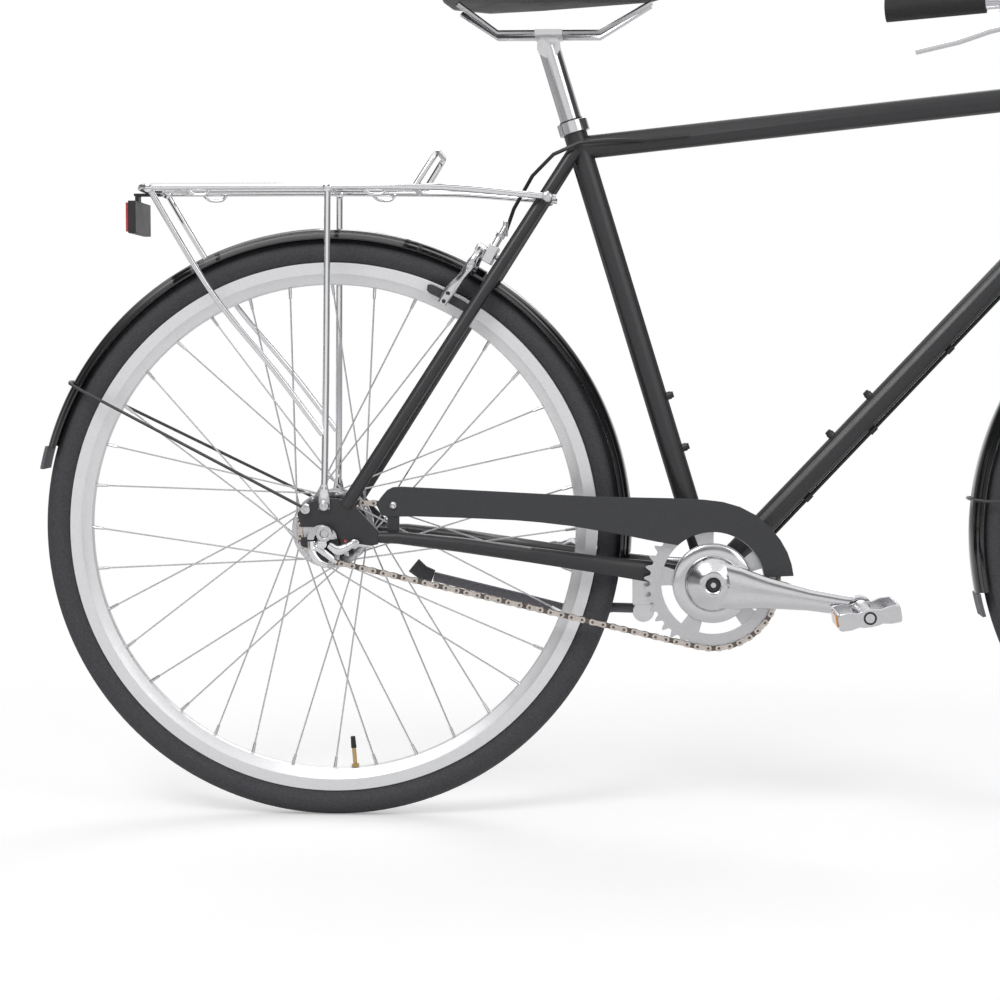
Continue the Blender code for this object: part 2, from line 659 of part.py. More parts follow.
def fender_section(radius):
    outer = [(radius - FENDER_DEPTH, -FENDER_HALF), (radius - 4, -FENDER_HALF + 6),
             (radius, -9), (radius, 9), (radius - 4, FENDER_HALF - 6),
             (radius - FENDER_DEPTH, FENDER_HALF)]
    inner = [(radius - FENDER_DEPTH, FENDER_HALF - FENDER_WALL),
             (radius - 4 - FENDER_WALL, FENDER_HALF - 6 - FENDER_WALL),
             (radius - FENDER_WALL, 8), (radius - FENDER_WALL, -8),
             (radius - 4 - FENDER_WALL, -FENDER_HALF + 6 + FENDER_WALL),
             (radius - FENDER_DEPTH, -FENDER_HALF + FENDER_WALL)]
    return outer + inner


def build_fender(prefix, axle, arc, tail_sign):
    turned(prefix + "_fender", fender_section(FENDER_RADIUS), axle, "gloss_black", arc, 24)
    tail = arc[1]
    gap_angle = math.degrees(GAP / FENDER_RADIUS)
    low = FENDER_RADIUS - 4
    flap = [(low, -20), (low + 4, -20), (low + 4, 20), (low, 20)]
    turned(prefix + "_fender_flap", flap, axle, "grey_plastic",
           (tail + gap_angle, tail + gap_angle + FLAP_ARC), 3)


def build_fender_stays(name, axle, angle, foot, foot_t):
    """A wire on each side, joined by a bow over the mudguard."""
    over = FENDER_RADIUS + GAP + STAY_WIRE_RADIUS + 0.3
    beside = FENDER_HALF + GAP + STAY_WIRE_RADIUS + 0.5
    path = []
    for side in (1, -1):
        leg = [point(foot[0], foot_t * side, foot[1])]
        corner = polar(axle, FENDER_RADIUS - FENDER_DEPTH - 2, angle)
        leg.append(point(corner[0], beside * side, corner[1]))
        rise = polar(axle, over - 3, angle)
        leg.append(point(rise[0], (beside - 5) * side, rise[1]))
        crown = polar(axle, over, angle)
        leg.append(point(crown[0], 10 * side, crown[1]))
        path += leg if side > 0 else leg[::-1]
    sweep(name, path, STAY_WIRE_RADIUS, "black_paint", 6)


def build_rack():
    z = RACK_Z
    rail_path = []
    for side in (1, -1):
        foot = seatstay(z - 11)
        leg = [point(foot[0] + 14, (foot[1] + STAY_RADIUS + 5.5) * side, z - 12),
               point(foot[0] - 24, (foot[1] + STAY_RADIUS + 9) * side, z - 9),
               point(RACK_FRONT_X, RACK_HALF * side, z - 1),
               point(RACK_REAR_X + 27, RACK_HALF * side, z),
               point(RACK_REAR_X + 7, (RACK_HALF - 9) * side, z),
               point(RACK_REAR_X, (RACK_HALF - 28) * side, z)]
        rail_path += leg if side > 0 else leg[::-1]
    rack = sweep("rack", rail_path, RACK_ROD_RADIUS, "chrome", 8)
    parts = []
    for x in (RACK_FRONT_X - 6, 2.0, RACK_REAR_X + 40):
        parts.append(rod("bar", point(x, -RACK_HALF, z), point(x, RACK_HALF, z), RACK_ROD_RADIUS - 0.5,
                         "chrome", 8))
    parts.append(rod("middle", point(RACK_REAR_X, 0, z), point(RACK_FRONT_X - 6, 0, z),
                     RACK_ROD_RADIUS - 0.8, "chrome", 8))
    hoop = [point(RACK_FRONT_X - 2, RACK_HALF, z), point(RACK_FRONT_X + 22, RACK_HALF - 4, z + 36),
            point(RACK_FRONT_X + 24, RACK_HALF - 16, z + 40),
            point(RACK_FRONT_X + 24, -RACK_HALF + 16, z + 40),
            point(RACK_FRONT_X + 22, -RACK_HALF + 4, z + 36), point(RACK_FRONT_X - 2, -RACK_HALF, z)]
    parts.append(sweep("hoop", hoop, RACK_ROD_RADIUS - 0.4, "chrome", 8))
    foot_t = REAR_DROPOUT_T + DROPOUT_HALF + GAP + 2.0
    for side in (1, -1):
        strut = [point(2, RACK_HALF * side, z), point(0, (RACK_HALF + 4) * side, 200),
                 point(-2, (foot_t + 1) * side, 62), point(-2.4, foot_t * side, 27)]
        parts.append(sweep("strut", strut, [(4, 4), (4, 4), (4, 3.5), (6, 2)], "chrome", 8))
        slant = [point(RACK_REAR_X + 14, (RACK_HALF - 4) * side, z - 1),
                 point(-123, (RACK_HALF + 1) * side, 264), point(-1.5, (foot_t - 2) * side, 112)]
        parts.append(sweep("slant", slant, RACK_ROD_RADIUS - 0.5, "chrome", 8))
    combine(rack, parts)


def build_reflector():
    back = RACK_REAR_X - RACK_ROD_RADIUS - GAP
    z = RACK_Z - 34
    bracket = box("reflector_housing", point(back - 4.5, 0, z), (4.5, 45, 19), "gloss_black")
    under = RACK_Z - RACK_ROD_RADIUS - GAP
    hook = box("hook", point(RACK_REAR_X + 2, 0, under - 1.5), (16, 8, 1.5), "gloss_black")
    drop = box("drop", point(back - 6, 0, under - 9), (2.2, 8, 8.5), "gloss_black")
    combine(bracket, [drop, hook])
    box("reflector_lens", point(back - 9 - GAP - 1.5, 0, z), (1.5, 42, 17), "red_lens")


def brake_frame(axle, mount_angle, sign, support_half):
    """Radial and forward directions of a brake, whose pads lie past its bolt."""
    lead = math.asin((support_half + BRAKE_SUPPORT_GAP + GAP) / BRAKE_BOLT_RADIUS)
    angle = math.radians(mount_angle) + lead * sign
    out = Vector((math.cos(angle), 0, math.sin(angle)))
    past = Vector((-math.sin(angle), 0, math.cos(angle))) * sign
    return Vector((axle[0], 0, axle[1])), out, past


def build_brake(prefix, axle, mount_angle, sign, support_half):
    centre, out, past = brake_frame(axle, mount_angle, sign, support_half)

    def place(radius, along, t):
        spot = centre + out * radius + past * along
        return Vector((spot.x, -t, spot.z))

    body = box(prefix + "_brake_body", place(BRAKE_BOLT_RADIUS - 1, -12.0, 0), (11, 22, 6),
               "silver", tuple(out), tuple(past))
    bolt = rod("bolt", place(BRAKE_BOLT_RADIUS, GAP - BRAKE_SUPPORT_GAP, 0), place(BRAKE_BOLT_RADIUS, -2, 0), 4.0,
               "silver", 10)
    combine(body, [bolt])
    for name, side in (("right", 1), ("left", -1)):
        arm = sweep(prefix + "_brake_arm_" + name,
                    [place(BRAKE_BOLT_RADIUS, 0, (BRAKE_PIVOT_T - 6) * side),
                     place(BRAKE_BOLT_RADIUS - 3, 0, (BRAKE_PIVOT_T + 8) * side),
                     place(BRAKE_PIVOT_RADIUS - 6, 1, (BRAKE_ARM_T + 3) * side),
                     place(BRAKE_PIVOT_RADIUS - 28, 5, (BRAKE_ARM_T + 1) * side),
                     place(BRAKE_PAD_RADIUS - 9, 10, BRAKE_ARM_T * side)],
                    [(6, 6), (6, 6), (6, 4), (6, 4), (6, 4)], "silver", 8,
                    ref=tuple(out))
        pin = rod("pin", place(BRAKE_PAD_RADIUS, 8, (BRAKE_ARM_T - 1) * side),
                  place(BRAKE_PAD_RADIUS, 8, (PAD_INNER_T + PAD_THICKNESS - 1) * side), 3.5,
                  "silver", 8)
        pad = box("pad", place(BRAKE_PAD_RADIUS, 8, (PAD_INNER_T + PAD_THICKNESS / 2) * side),
                  (PAD_HALF_LENGTH, PAD_THICKNESS / 2, PAD_HALF_HEIGHT), "rubber", tuple(past),
                  tuple(out))
        combine(arm, [pin, pad])


def build_kickstand():
    bracket = box("kickstand_bracket", point(372, 2, -50 - 6.5 - GAP - 16), (14, 18, 16), "silver")
    knuckle = cross_rod("knuckle", (371, -98), 13.0, -16, 6, "silver", 14)
    combine(bracket, [knuckle])
    leg_t = -16 - GAP - 9
    foot_t = leg_t - FOOT_FLARE
    path = [point(371, leg_t, -98), point(335, leg_t, -97), point(306, leg_t, -101),
            point(273, leg_t, -98), point(236, leg_t - 2, -89), point(118, foot_t, -62)]
    leg = sweep("kickstand_leg", path, 6.0, "grey_plastic", 10)
    hub = cross_rod("hub", (371, -98), 12.0, leg_t - 9, leg_t + 9, "silver", 14)
    combine(leg, [hub])
    sweep("kickstand_foot",
          [point(116.8, foot_t, -61.6), point(104, foot_t, -57), point(93, foot_t, -48)],
          [(8, 8), (9, 9), (10, 10)], "rubber", 10)


def build_fork():
    axis = Vector((-math.cos(HEAD_ANGLE), 0, math.sin(HEAD_ANGLE)))
    low = head_point(HEAD_LOW_Z) - axis * (GAP + 12)
    crown_top = low - axis * GAP
    crown_low = crown_top - axis * 26
    steerer = rod("fork", crown_low, head_point(HEAD_HIGH_Z + STEERER_STANDS_OUT), STEERER_RADIUS, "black_paint", 16)
    crown = box("crown", (crown_top + crown_low) / 2, (CROWN_HALF_DEPTH, 43, 13), "black_paint",
                (math.sin(HEAD_ANGLE), 0, math.cos(HEAD_ANGLE)), tuple(axis))
    parts = [crown]
    for side in (1, -1):
        blade_top = crown_low + axis * 8
        foot = point(WHEELBASE - 2, 54 * side, 13)
        knee = crown_low - axis * 230
        path = [Vector((blade_top.x, -36 * side, blade_top.z)), Vector((knee.x, -44 * side, knee.z)),
                point(WHEELBASE - 42, 51 * side, 58), foot]
        parts.append(sweep("blade", path, [(13, 10), (11, 8), (8, 6), (6, 5)], "black_paint", 10))
        outline = [polar(FRONT_AXLE, 16, a) for a in range(150, -31, -30)]
        outline += [(WHEELBASE + 5.6, -14), (WHEELBASE + 5.6, 5.6), (WHEELBASE - 5.6, 5.6),
                    (WHEELBASE - 5.6, -14)]
        parts.append(plate("tip", outline, 51.5 * side, 56.5 * side, "black_paint"))
    combine(steerer, parts)
    axle = cross_rod("front_axle", FRONT_AXLE, AXLE_RADIUS, -66, 66, "silver", 12)
    extras = []
    for side in (1, -1):
        extras.append(cross_rod("nut", FRONT_AXLE, 9, 57 * side, 65 * side, "silver", 12))
        extras.append(cross_rod("cone", FRONT_AXLE, 8, (FRONT_FLANGE_HALF + FLANGE_THICKNESS / 2 + GAP)
                                * side, (51.5 - GAP) * side, "silver", 12))
    combine(axle, extras)


def bar_clamp():
    return head_x(STEM_RISE_Z) + STEM_REACH, STEM_RISE_Z + 12


def build_stem_and_bar():
    clamp = bar_clamp()
    base_z = HEAD_HIGH_Z + STEERER_STANDS_OUT + GAP
    stem = sweep("stem", [head_point(base_z), head_point(STEM_RISE_Z - 8),
                          point(clamp[0], 0, clamp[1])], [15.0, 14.0, 12.0], "silver", 12)
    ring = cross_rod("ring", clamp, BAR_RADIUS + 6, -20, 20, "silver", 16)
    combine(stem, [ring])
    bore = cross_rod("bar_bore", clamp, BAR_RADIUS + GAP, -40, 40, "silver", 16)
    cut(stem, [bore])
    path = []
    for side in (1, -1):
        leg = bar_points(side)
        path += leg[::-1] if side > 0 else leg
    bar = sweep("handlebar", path, BAR_RADIUS, "silver", 12, ref=(0, 0, 1))
    combine(bar, lever_clamps())


def bar_points(side):
    x, z = bar_clamp()
    return [point(x, 45 * side, z), point(x + 14, 110 * side, z + 22),
            point(x - 8, 200 * side, z + 40), point(x - 60, (BAR_HALF_WIDTH - 45) * side, z + 42),
            point(x - BAR_SWEEP - 90, BAR_HALF_WIDTH * side, z + 34)]


def bar_direction(side):
    points = bar_points(side)
    return points[-1], (points[-2] - points[-1]).normalized()


def lever_clamps():
    """The clamps and posts that carry the brake levers, part of the bar."""
    parts = []
    for side in (1, -1):
        end, inward = bar_direction(side)
        clamp_at = end + inward * (GRIP_LENGTH + 24)
        down = Vector((0, 0, -1))
        out = (down - inward * down.dot(inward)).normalized()
        parts.append(rod("clamp", clamp_at - inward * 7, clamp_at + inward * 7, BAR_RADIUS + 5,
                         "silver", 14))
        parts.append(rod("post", clamp_at + out * 8, clamp_at + out * 30, 6.0, "silver", 10))
    return parts


def build_grips_and_levers():
    for name, side in (("right", 1), ("left", -1)):
        end, inward = bar_direction(side)
        start = end - inward * 2
        grip = rod("grip_" + name, start, end + inward * GRIP_LENGTH, GRIP_RADIUS, "rubber", 14)
        bore = rod("bore", end - inward * GAP, end + inward * (GRIP_LENGTH + 20),
                   clear_bore(BAR_RADIUS, 14), "rubber", 14)
        cut(grip, [bore])
        clamp_at = end + inward * (GRIP_LENGTH + 24)
        down = Vector((0, 0, -1))
        out = (down - inward * down.dot(inward)).normalized()
        root = clamp_at + out * (30 + GAP + LEVER_BARREL_RADIUS)
        across = out.cross(inward).normalized()
        lever = sweep("brake_lever_" + name,
                      [root + out * 1.5, root - inward * 20 + out * 4,
                       root - inward * 60 + out * 14, root - inward * 115 + out * 22],
                      [(5, 3.5), (6, 4), (7, 4), (6, 4)], "silver", 8, ref=tuple(out))
        barrel = rod("barrel", root - across * 7, root + across * 7, LEVER_BARREL_RADIUS, "silver", 12)
        combine(lever, [barrel])
        if side > 0:
            ring_at = end + inward * (GRIP_LENGTH + 8)
            sleeve("shifter_ring", ring_at - inward * 7, ring_at + inward * 7, GRIP_RADIUS + 2,
                   clear_bore(BAR_RADIUS, 14), "gloss_black", 14)


def build_saddle():
    low = seat_tube_point(SEAT_TUBE_LENGTH - POST_DEPTH)
    top_z = SADDLE_Z - 44
    top = point(seat_tube_x(top_z), 0, top_z)
    post = rod("seatpost", point(low[0], 0, low[1]), top, POST_RADIUS, "silver", 12)
    head = cross_rod("post_head", (top.x, top.z), 14.0, -12, 12, "silver", 12)
    combine(post, [head])
    rail_z = top_z + 14
    rails = None
    parts = []
    for side in (1, -1):
        rail = sweep("saddle_rails", [point(top.x - 105, 42 * side, SADDLE_Z + 1.2),
                                      point(top.x - 60, 22 * side, rail_z),
                                      point(top.x + 60, 22 * side, rail_z),
                                      point(top.x + 120, 12 * side, SADDLE_Z + 5.4)],
                     3.5, "silver", 8)
        if rails is None:
            rails = rail
        else:
            parts.append(rail)
    parts.append(box("clamp", point(top.x, 0, rail_z), (16, 30, 3.2), "silver"))
    combine(post, [rails] + parts)
    half = SADDLE_WIDTH / 2
    sections = [(-0.5, 0.55, 12), (-0.46, 0.85, 19), (-0.3, 1.0, 22), (-0.05, 0.7, 20),
                (0.2, 0.36, 17), (0.42, 0.28, 14), (0.5, 0.18, 8)]
    path = [point(top.x + 8 + s * SADDLE_LENGTH, 0, SADDLE_Z + 20 + 4 * abs(s)) for s, _, _ in sections]
    halves = [(tall, wide * half) for _, wide, tall in sections]
    saddle = sweep("saddle", path, halves, "saddle_black", 14)
    return saddle


def bottle_bosses():
    """Bosses with bolt heads on the down tube and the seat tube, part of the frame."""
    parts = []
    base = point(BRACKET_X, 0, BRACKET_Z)
    tubes = [(Vector((-math.sin(DOWN_ANGLE), 0, math.cos(DOWN_ANGLE))),
              Vector((math.cos(DOWN_ANGLE), 0, math.sin(DOWN_ANGLE))), (222.0, 286.0)),
             (Vector((math.sin(SEAT_ANGLE), 0, math.cos(SEAT_ANGLE))),
              Vector((-math.cos(SEAT_ANGLE), 0, math.sin(SEAT_ANGLE))), (160.0, 224.0))]
    for normal, along, distances in tubes:
        for distance in distances:
            seat = base + along * distance
            parts.append(rod("boss", seat + normal * (TUBE_RADIUS - 5), seat + normal * (TUBE_RADIUS + 4),
                             5.0, "silver", 12))
    return parts


def build_cables():
    """Cable housings that the frame holds along their whole length."""
    bridge = brake_bridge_point()
    sweep("rear_brake_cable",
          [point(bridge[0] + 2, 5, bridge[1] + 34), point(bridge[0] + 12, 8, bridge[1] + 62),
           point(bridge[0] + 34, 14, bridge[1] + 100), point(bridge[0] + 59, 26, bridge[1] + 124),
           point(bridge[0] + 89, 30, bridge[1] + 137), point(bridge[0] + 127, 26, bridge[1] + 140),
           point(bridge[0] + 167, 17, bridge[1] + 141),
           point(bridge[0] + 217, TUBE_RADIUS - 0.4 + CABLE_RADIUS - 0.1, bridge[1] + 146)],
          CABLE_RADIUS, "gloss_black", 6)
    normal = Vector((math.sin(DOWN_ANGLE), 0, -math.cos(DOWN_ANGLE)))
    along = Vector((math.cos(DOWN_ANGLE), 0, math.sin(DOWN_ANGLE)))
    base = Vector((BRACKET_X, 0, BRACKET_Z))
    low = base + normal * (TUBE_RADIUS * math.cos(math.pi / 12) + GAP + CABLE_RADIUS) + along * 70
    high = base + normal * (TUBE_RADIUS * math.cos(math.pi / 12) + GAP + CABLE_RADIUS) + along * 540
    sweep("shift_cable", [high, low, low - along * 40 + normal * 4], CABLE_RADIUS, "gloss_black", 6)


def stand_on_origin():
    """Move everything so that the box of the bicycle stands on the origin."""
    bpy.context.view_layer.update()
    corners = [Vector(v.co) for o in bpy.data.objects for v in o.data.vertices]
    low = [min(c[i] for c in corners) for i in range(3)]
    high = [max(c[i] for c in corners) for i in range(3)]
    shift = Vector((-(low[0] + high[0]) / 2, -(low[1] + high[1]) / 2, -low[2]))
    for thing in bpy.data.objects:
        thing.data.transform(Matrix.Translation(shift))
    print("moved by", [round(s, 6) for s in shift], len(bpy.data.objects))


def main():
    clear_scene()
    build_frame()
    build_headset()
    build_bracket_cups()
    build_seat_clamp()
    build_wheel("rear", REAR_AXLE, REAR_FLANGE_RADIUS, REAR_FLANGE_HALF, REAR_SHELL_RADIUS)
    build_wheel("front", FRONT_AXLE, FRONT_FLANGE_RADIUS, FRONT_FLANGE_HALF, FRONT_SHELL_RADIUS)
    build_rear_axle()
    build_sprocket()
    build_chain()
    build_crankset()
    build_pedal("right", 1, CRANK_ANGLE)
    build_pedal("left", -1, CRANK_ANGLE + math.pi)
    build_chainguard()
    build_fender("rear", REAR_AXLE, REAR_FENDER_ARC, 1)
    build_fender("front", FRONT_AXLE, FRONT_FENDER_ARC, 1)
    build_fender_stays("rear_fender_stays", REAR_AXLE, 151.0, (-25.0, 28.0),
                       REAR_DROPOUT_T + DROPOUT_HALF + 2 * GAP + STAY_WIRE_RADIUS)
    build_fender_stays("front_fender_stays", FRONT_AXLE, 174.0, (WHEELBASE - 2, 22.0), 62.0)
    build_rack()
    build_reflector()
    bridge = brake_bridge_point()
    bridge_angle = math.degrees(math.atan2(bridge[1], bridge[0]))
    build_brake("rear", REAR_AXLE, bridge_angle, 1, BRIDGE_RADIUS)
    build_brake("front", FRONT_AXLE, FRONT_BRAKE_ANGLE, -1, CROWN_HALF_DEPTH)
    build_kickstand()
    build_fork()
    build_stem_and_bar()
    build_grips_and_levers()
    build_saddle()
    build_cables()
    stand_on_origin()


main()
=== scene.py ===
"""The dressed bicycle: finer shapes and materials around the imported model."""
import json
import math

import bmesh
import bpy
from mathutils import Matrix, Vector


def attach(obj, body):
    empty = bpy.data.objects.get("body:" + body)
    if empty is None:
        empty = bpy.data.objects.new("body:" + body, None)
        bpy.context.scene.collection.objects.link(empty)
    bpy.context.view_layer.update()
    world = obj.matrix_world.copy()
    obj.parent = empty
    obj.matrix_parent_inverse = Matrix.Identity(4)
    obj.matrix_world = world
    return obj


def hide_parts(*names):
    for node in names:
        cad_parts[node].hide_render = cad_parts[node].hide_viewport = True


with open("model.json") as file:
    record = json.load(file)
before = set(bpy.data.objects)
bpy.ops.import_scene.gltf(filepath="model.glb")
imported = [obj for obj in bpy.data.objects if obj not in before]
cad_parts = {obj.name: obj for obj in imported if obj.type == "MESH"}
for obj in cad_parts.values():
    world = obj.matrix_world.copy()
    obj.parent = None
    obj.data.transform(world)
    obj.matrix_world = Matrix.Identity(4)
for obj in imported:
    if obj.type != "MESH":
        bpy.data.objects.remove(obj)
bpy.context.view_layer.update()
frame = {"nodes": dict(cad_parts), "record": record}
NODE_BODY = {}
for body_name, members in frame["record"]["behaviour"]["bodies"].items():
    for member in members:
        NODE_BODY[member] = body_name

# Sizes in millimetres, measured from the rear axle: x forward, t to the drive side, z up.
ORIGIN_X = 554.054
AXLE_HEIGHT = 346.0
RIM_OUTER = 316.0
RIM_INNER = 290.0
WHEELBASE = 1112.0
BRACKET = (451.0, -60.0)
REAR = (0.0, 0.0)
FRONT = (WHEELBASE, 0.0)
SEAT_ANGLE = math.radians(72.85)
DOWN_ANGLE = math.radians(46.85)
CHAIN_T = 44.0
RING_TEETH = 38
SPROCKET_TEETH = 17
PITCH = 12.7
RING_R = PITCH / (2 * math.sin(math.pi / RING_TEETH))
SPROCKET_R = PITCH / (2 * math.sin(math.pi / SPROCKET_TEETH))
CRANK_ANGLE = math.radians(-8.3)
CRANK_LENGTH = 170.0
T_AXIS = Vector((0, -1, 0))


def at(x, t, z):
    return Vector(((x - ORIGIN_X) / 1000, -t / 1000, (z + AXLE_HEIGHT) / 1000))


def around(centre, radius, degrees, t=0.0):
    angle = math.radians(degrees)
    return at(centre[0] + radius * math.cos(angle), t, centre[1] + radius * math.sin(angle))


def seat_x(z):
    return BRACKET[0] - (z - BRACKET[1]) / math.tan(SEAT_ANGLE)


def smooth_path(points, steps):
    """Points on a Catmull-Rom curve through the given ones, with the share of the way."""
    if steps < 2 or len(points) < 3:
        return [(p, i) for i, p in enumerate(points)]
    ends = [points[0] * 2 - points[1]] + list(points) + [points[-1] * 2 - points[-2]]
    out = []
    for i in range(1, len(ends) - 2):
        a, b, c, d = ends[i - 1:i + 3]
        for k in range(steps):
            u = k / steps
            p = (b * 2 + (c - a) * u + (a * 2 - b * 5 + c * 4 - d) * u * u
                 + (b * 3 - a - c * 3 + d) * u ** 3) / 2
            out.append((p, i - 1 + u))
    out.append((points[-1], len(points) - 1))
    return out


class Shape:
    """Collects closed shells, then makes one object of them."""

    def __init__(self):
        self.vertices = []
        self.faces = []

    def add(self, vertices, faces):
        base = len(self.vertices)
        self.vertices += vertices
        self.faces += [[base + i for i in face] for face in faces]
        return self

    def rings(self, rings, closed=False):
        """Joins rings of equal length; open ends get a cap."""
        sides = len(rings[0])
        faces = []
        count = len(rings)
        for i in range(count if closed else count - 1):
            j = (i + 1) % count
            for k in range(sides):
                m = (k + 1) % sides
                faces.append([i * sides + k, i * sides + m, j * sides + m, j * sides + k])
        if not closed:
            faces.append(list(range(sides)))
            faces.append([(count - 1) * sides + k for k in range(sides)])
        return self.add([p for ring in rings for p in ring], faces)

    def tube(self, points, sizes, sides=20, steps=5, ref=T_AXIS, square=0.0):
        """A round or oval tube. A size is a radius or a pair (along ref, across), in millimetres."""
        points = [Vector(p) for p in points]
        if not isinstance(sizes, list):
            sizes = [sizes] * len(points)
        sizes = [s if isinstance(s, tuple) else (s, s) for s in sizes]
        path = smooth_path(points, steps)
        rings = []
        for i, (p, share) in enumerate(path):
            before = path[max(i - 1, 0)][0]
            after = path[min(i + 1, len(path) - 1)][0]
            along = (after - before).normalized()
            side = Vector(ref) - along * along.dot(Vector(ref))
            side.normalize()
            up = along.cross(side)
            low = min(int(share), len(sizes) - 2) if len(sizes) > 1 else 0
            rest = share - low
            high = min(low + 1, len(sizes) - 1)
            a = (sizes[low][0] * (1 - rest) + sizes[high][0] * rest) / 1000
            b = (sizes[low][1] * (1 - rest) + sizes[high][1] * rest) / 1000
            ring = []
            for k in range(sides):
                angle = 2 * math.pi * (k + 0.5) / sides
                c, s = math.cos(angle), math.sin(angle)
                fill = 1 + square * (abs(2 * c * s)) ** 2
                ring.append(p + side * (a * c * fill) + up * (b * s * fill))
            rings.append(ring)
        return self.rings(rings)

    def rod(self, start, end, radius, sides=20, end_radius=None):
        second = radius if end_radius is None else end_radius
        lean = Vector((0.0, 0.0, 1.0))
        run = (Vector(end) - Vector(start)).normalized()
        ref = lean if abs(run.z) < 0.8 else Vector((1.0, 0.0, 0.0))
        return self.tube([start, end], [radius, second], sides, 1, ref)

    def cross(self, centre, radius, t0, t1, sides=32, chamfer=0.6):
        """A round bar across the bicycle, with its edges broken."""
        soft = min(chamfer, radius / 3, abs(t1 - t0) / 3)
        way = 1 if t1 > t0 else -1
        section = [(0.01, t0), (radius - soft, t0), (radius, t0 + soft * way),
                   (radius, t1 - soft * way), (radius - soft, t1), (0.01, t1)]
        return self.lathe(section, centre, sides)

    def lathe(self, section, centre, steps=96, arc=None):
        """Turns a closed section of (radius, t) round an axle."""
        count = steps if arc is None else steps + 1
        first, last = arc or (0, 360)
        rings = []
        for i in range(count):
            angle = first + (last - first) * i / steps
            rings.append([around(centre, r, angle, t) for r, t in section])
        return self.rings(rings, arc is None)

    def turned(self, section, start, end, steps=32):
        """Turns (radius, share of the way) rings round the line from start to end."""
        start, end = Vector(start), Vector(end)
        run = end - start
        along = run.normalized()
        ref = Vector((0, 0, 1)) if abs(along.z) < 0.8 else Vector((1, 0, 0))
        side = (ref - along * along.dot(ref)).normalized()
        up = along.cross(side)
        rings = []
        for radius, share in section:
            ring = []
            for k in range(steps):
                angle = 2 * math.pi * k / steps
                ring.append(start + run * share + (side * math.cos(angle) + up * math.sin(angle))
                            * radius / 1000)
            rings.append(ring)
        return self.rings(rings)

    def plate(self, outline, t0, t1):
        """A flat plate from (x, z) corners, square to the axles."""
        rings = [[at(x, t, z) for x, z in outline] for t in (t0, t1)]
        return self.rings(rings)

    def band(self, centre, outer, inner, t0, t1):
        """A flat ring whose outer edge is a list of (degrees, radius)."""
        rings = []
        for degrees, radius in outer:
            rings.append([around(centre, inner, degrees, t0), around(centre, radius, degrees, t0),
                          around(centre, radius, degrees, t1), around(centre, inner, degrees, t1)])
        return self.rings(rings, True)

    def sector(self, centre, inner, outer, first, last, t0, t1, steps=8):
        section = [(inner, t0), (outer, t0), (outer, t1), (inner, t1)]
        return self.lathe(section, centre, steps, (first, last))

    def block(self, centre, half, ax=(1, 0, 0), az=(0, 0, 1)):
        ax, az = Vector(ax).normalized(), Vector(az).normalized()
        ay = az.cross(ax)
        rings = []
        for sx in (-1, 1):
            corners = []
            for sy, sz in ((-1, -1), (1, -1), (1, 1), (-1, 1)):
                corners.append(Vector(centre) + (ax * sx * half[0] + ay * sy * half[1]
                                                 + az * sz * half[2]) / 1000)
            rings.append(corners)
        return self.rings(rings)

    def ball(self, centre, radius, flat=1.0, way=(0, 0, 1)):
        way = Vector(way).normalized() * radius * flat / 1000
        section = []
        for i in range(9):
            angle = math.pi * i / 8
            section.append((max(radius * math.sin(angle), 0.02), (1 - math.cos(angle)) / 2))
        return self.turned(section, Vector(centre) - way, Vector(centre) + way, 16)

    def make(self, name, look, body, replaces=(), soft_edge=0.0, angle=35):
        mesh = bpy.data.meshes.new(name)
        mesh.from_pydata([tuple(v) for v in self.vertices], [], self.faces)
        mesh.validate()
        return finish_piece(mesh, name, look, body, replaces, soft_edge, angle)


def finish_piece(mesh, name, look, body, replaces, soft_edge, angle):
    work = bmesh.new()
    work.from_mesh(mesh)
    bmesh.ops.remove_doubles(work, verts=work.verts, dist=0.000002)
    bmesh.ops.recalc_face_normals(work, faces=work.faces)
    work.to_mesh(mesh)
    work.free()
    mesh.shade_smooth()
    mesh.set_sharp_from_angle(angle=math.radians(angle))
    piece = bpy.data.objects.new(name, mesh)
    bpy.context.scene.collection.objects.link(piece)
    mesh.materials.clear()
    mesh.materials.append(LOOKS[look][0])
    if soft_edge:
        bevel = piece.modifiers.new("edges", "BEVEL")
        bevel.width = soft_edge / 1000
        bevel.segments = 2
        bevel.limit_method = "ANGLE"
        bevel.angle_limit = math.radians(angle)
        bevel.use_clamp_overlap = True
        bevel.harden_normals = False
    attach(piece, body)
    if replaces:
        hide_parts(*replaces)
    return piece


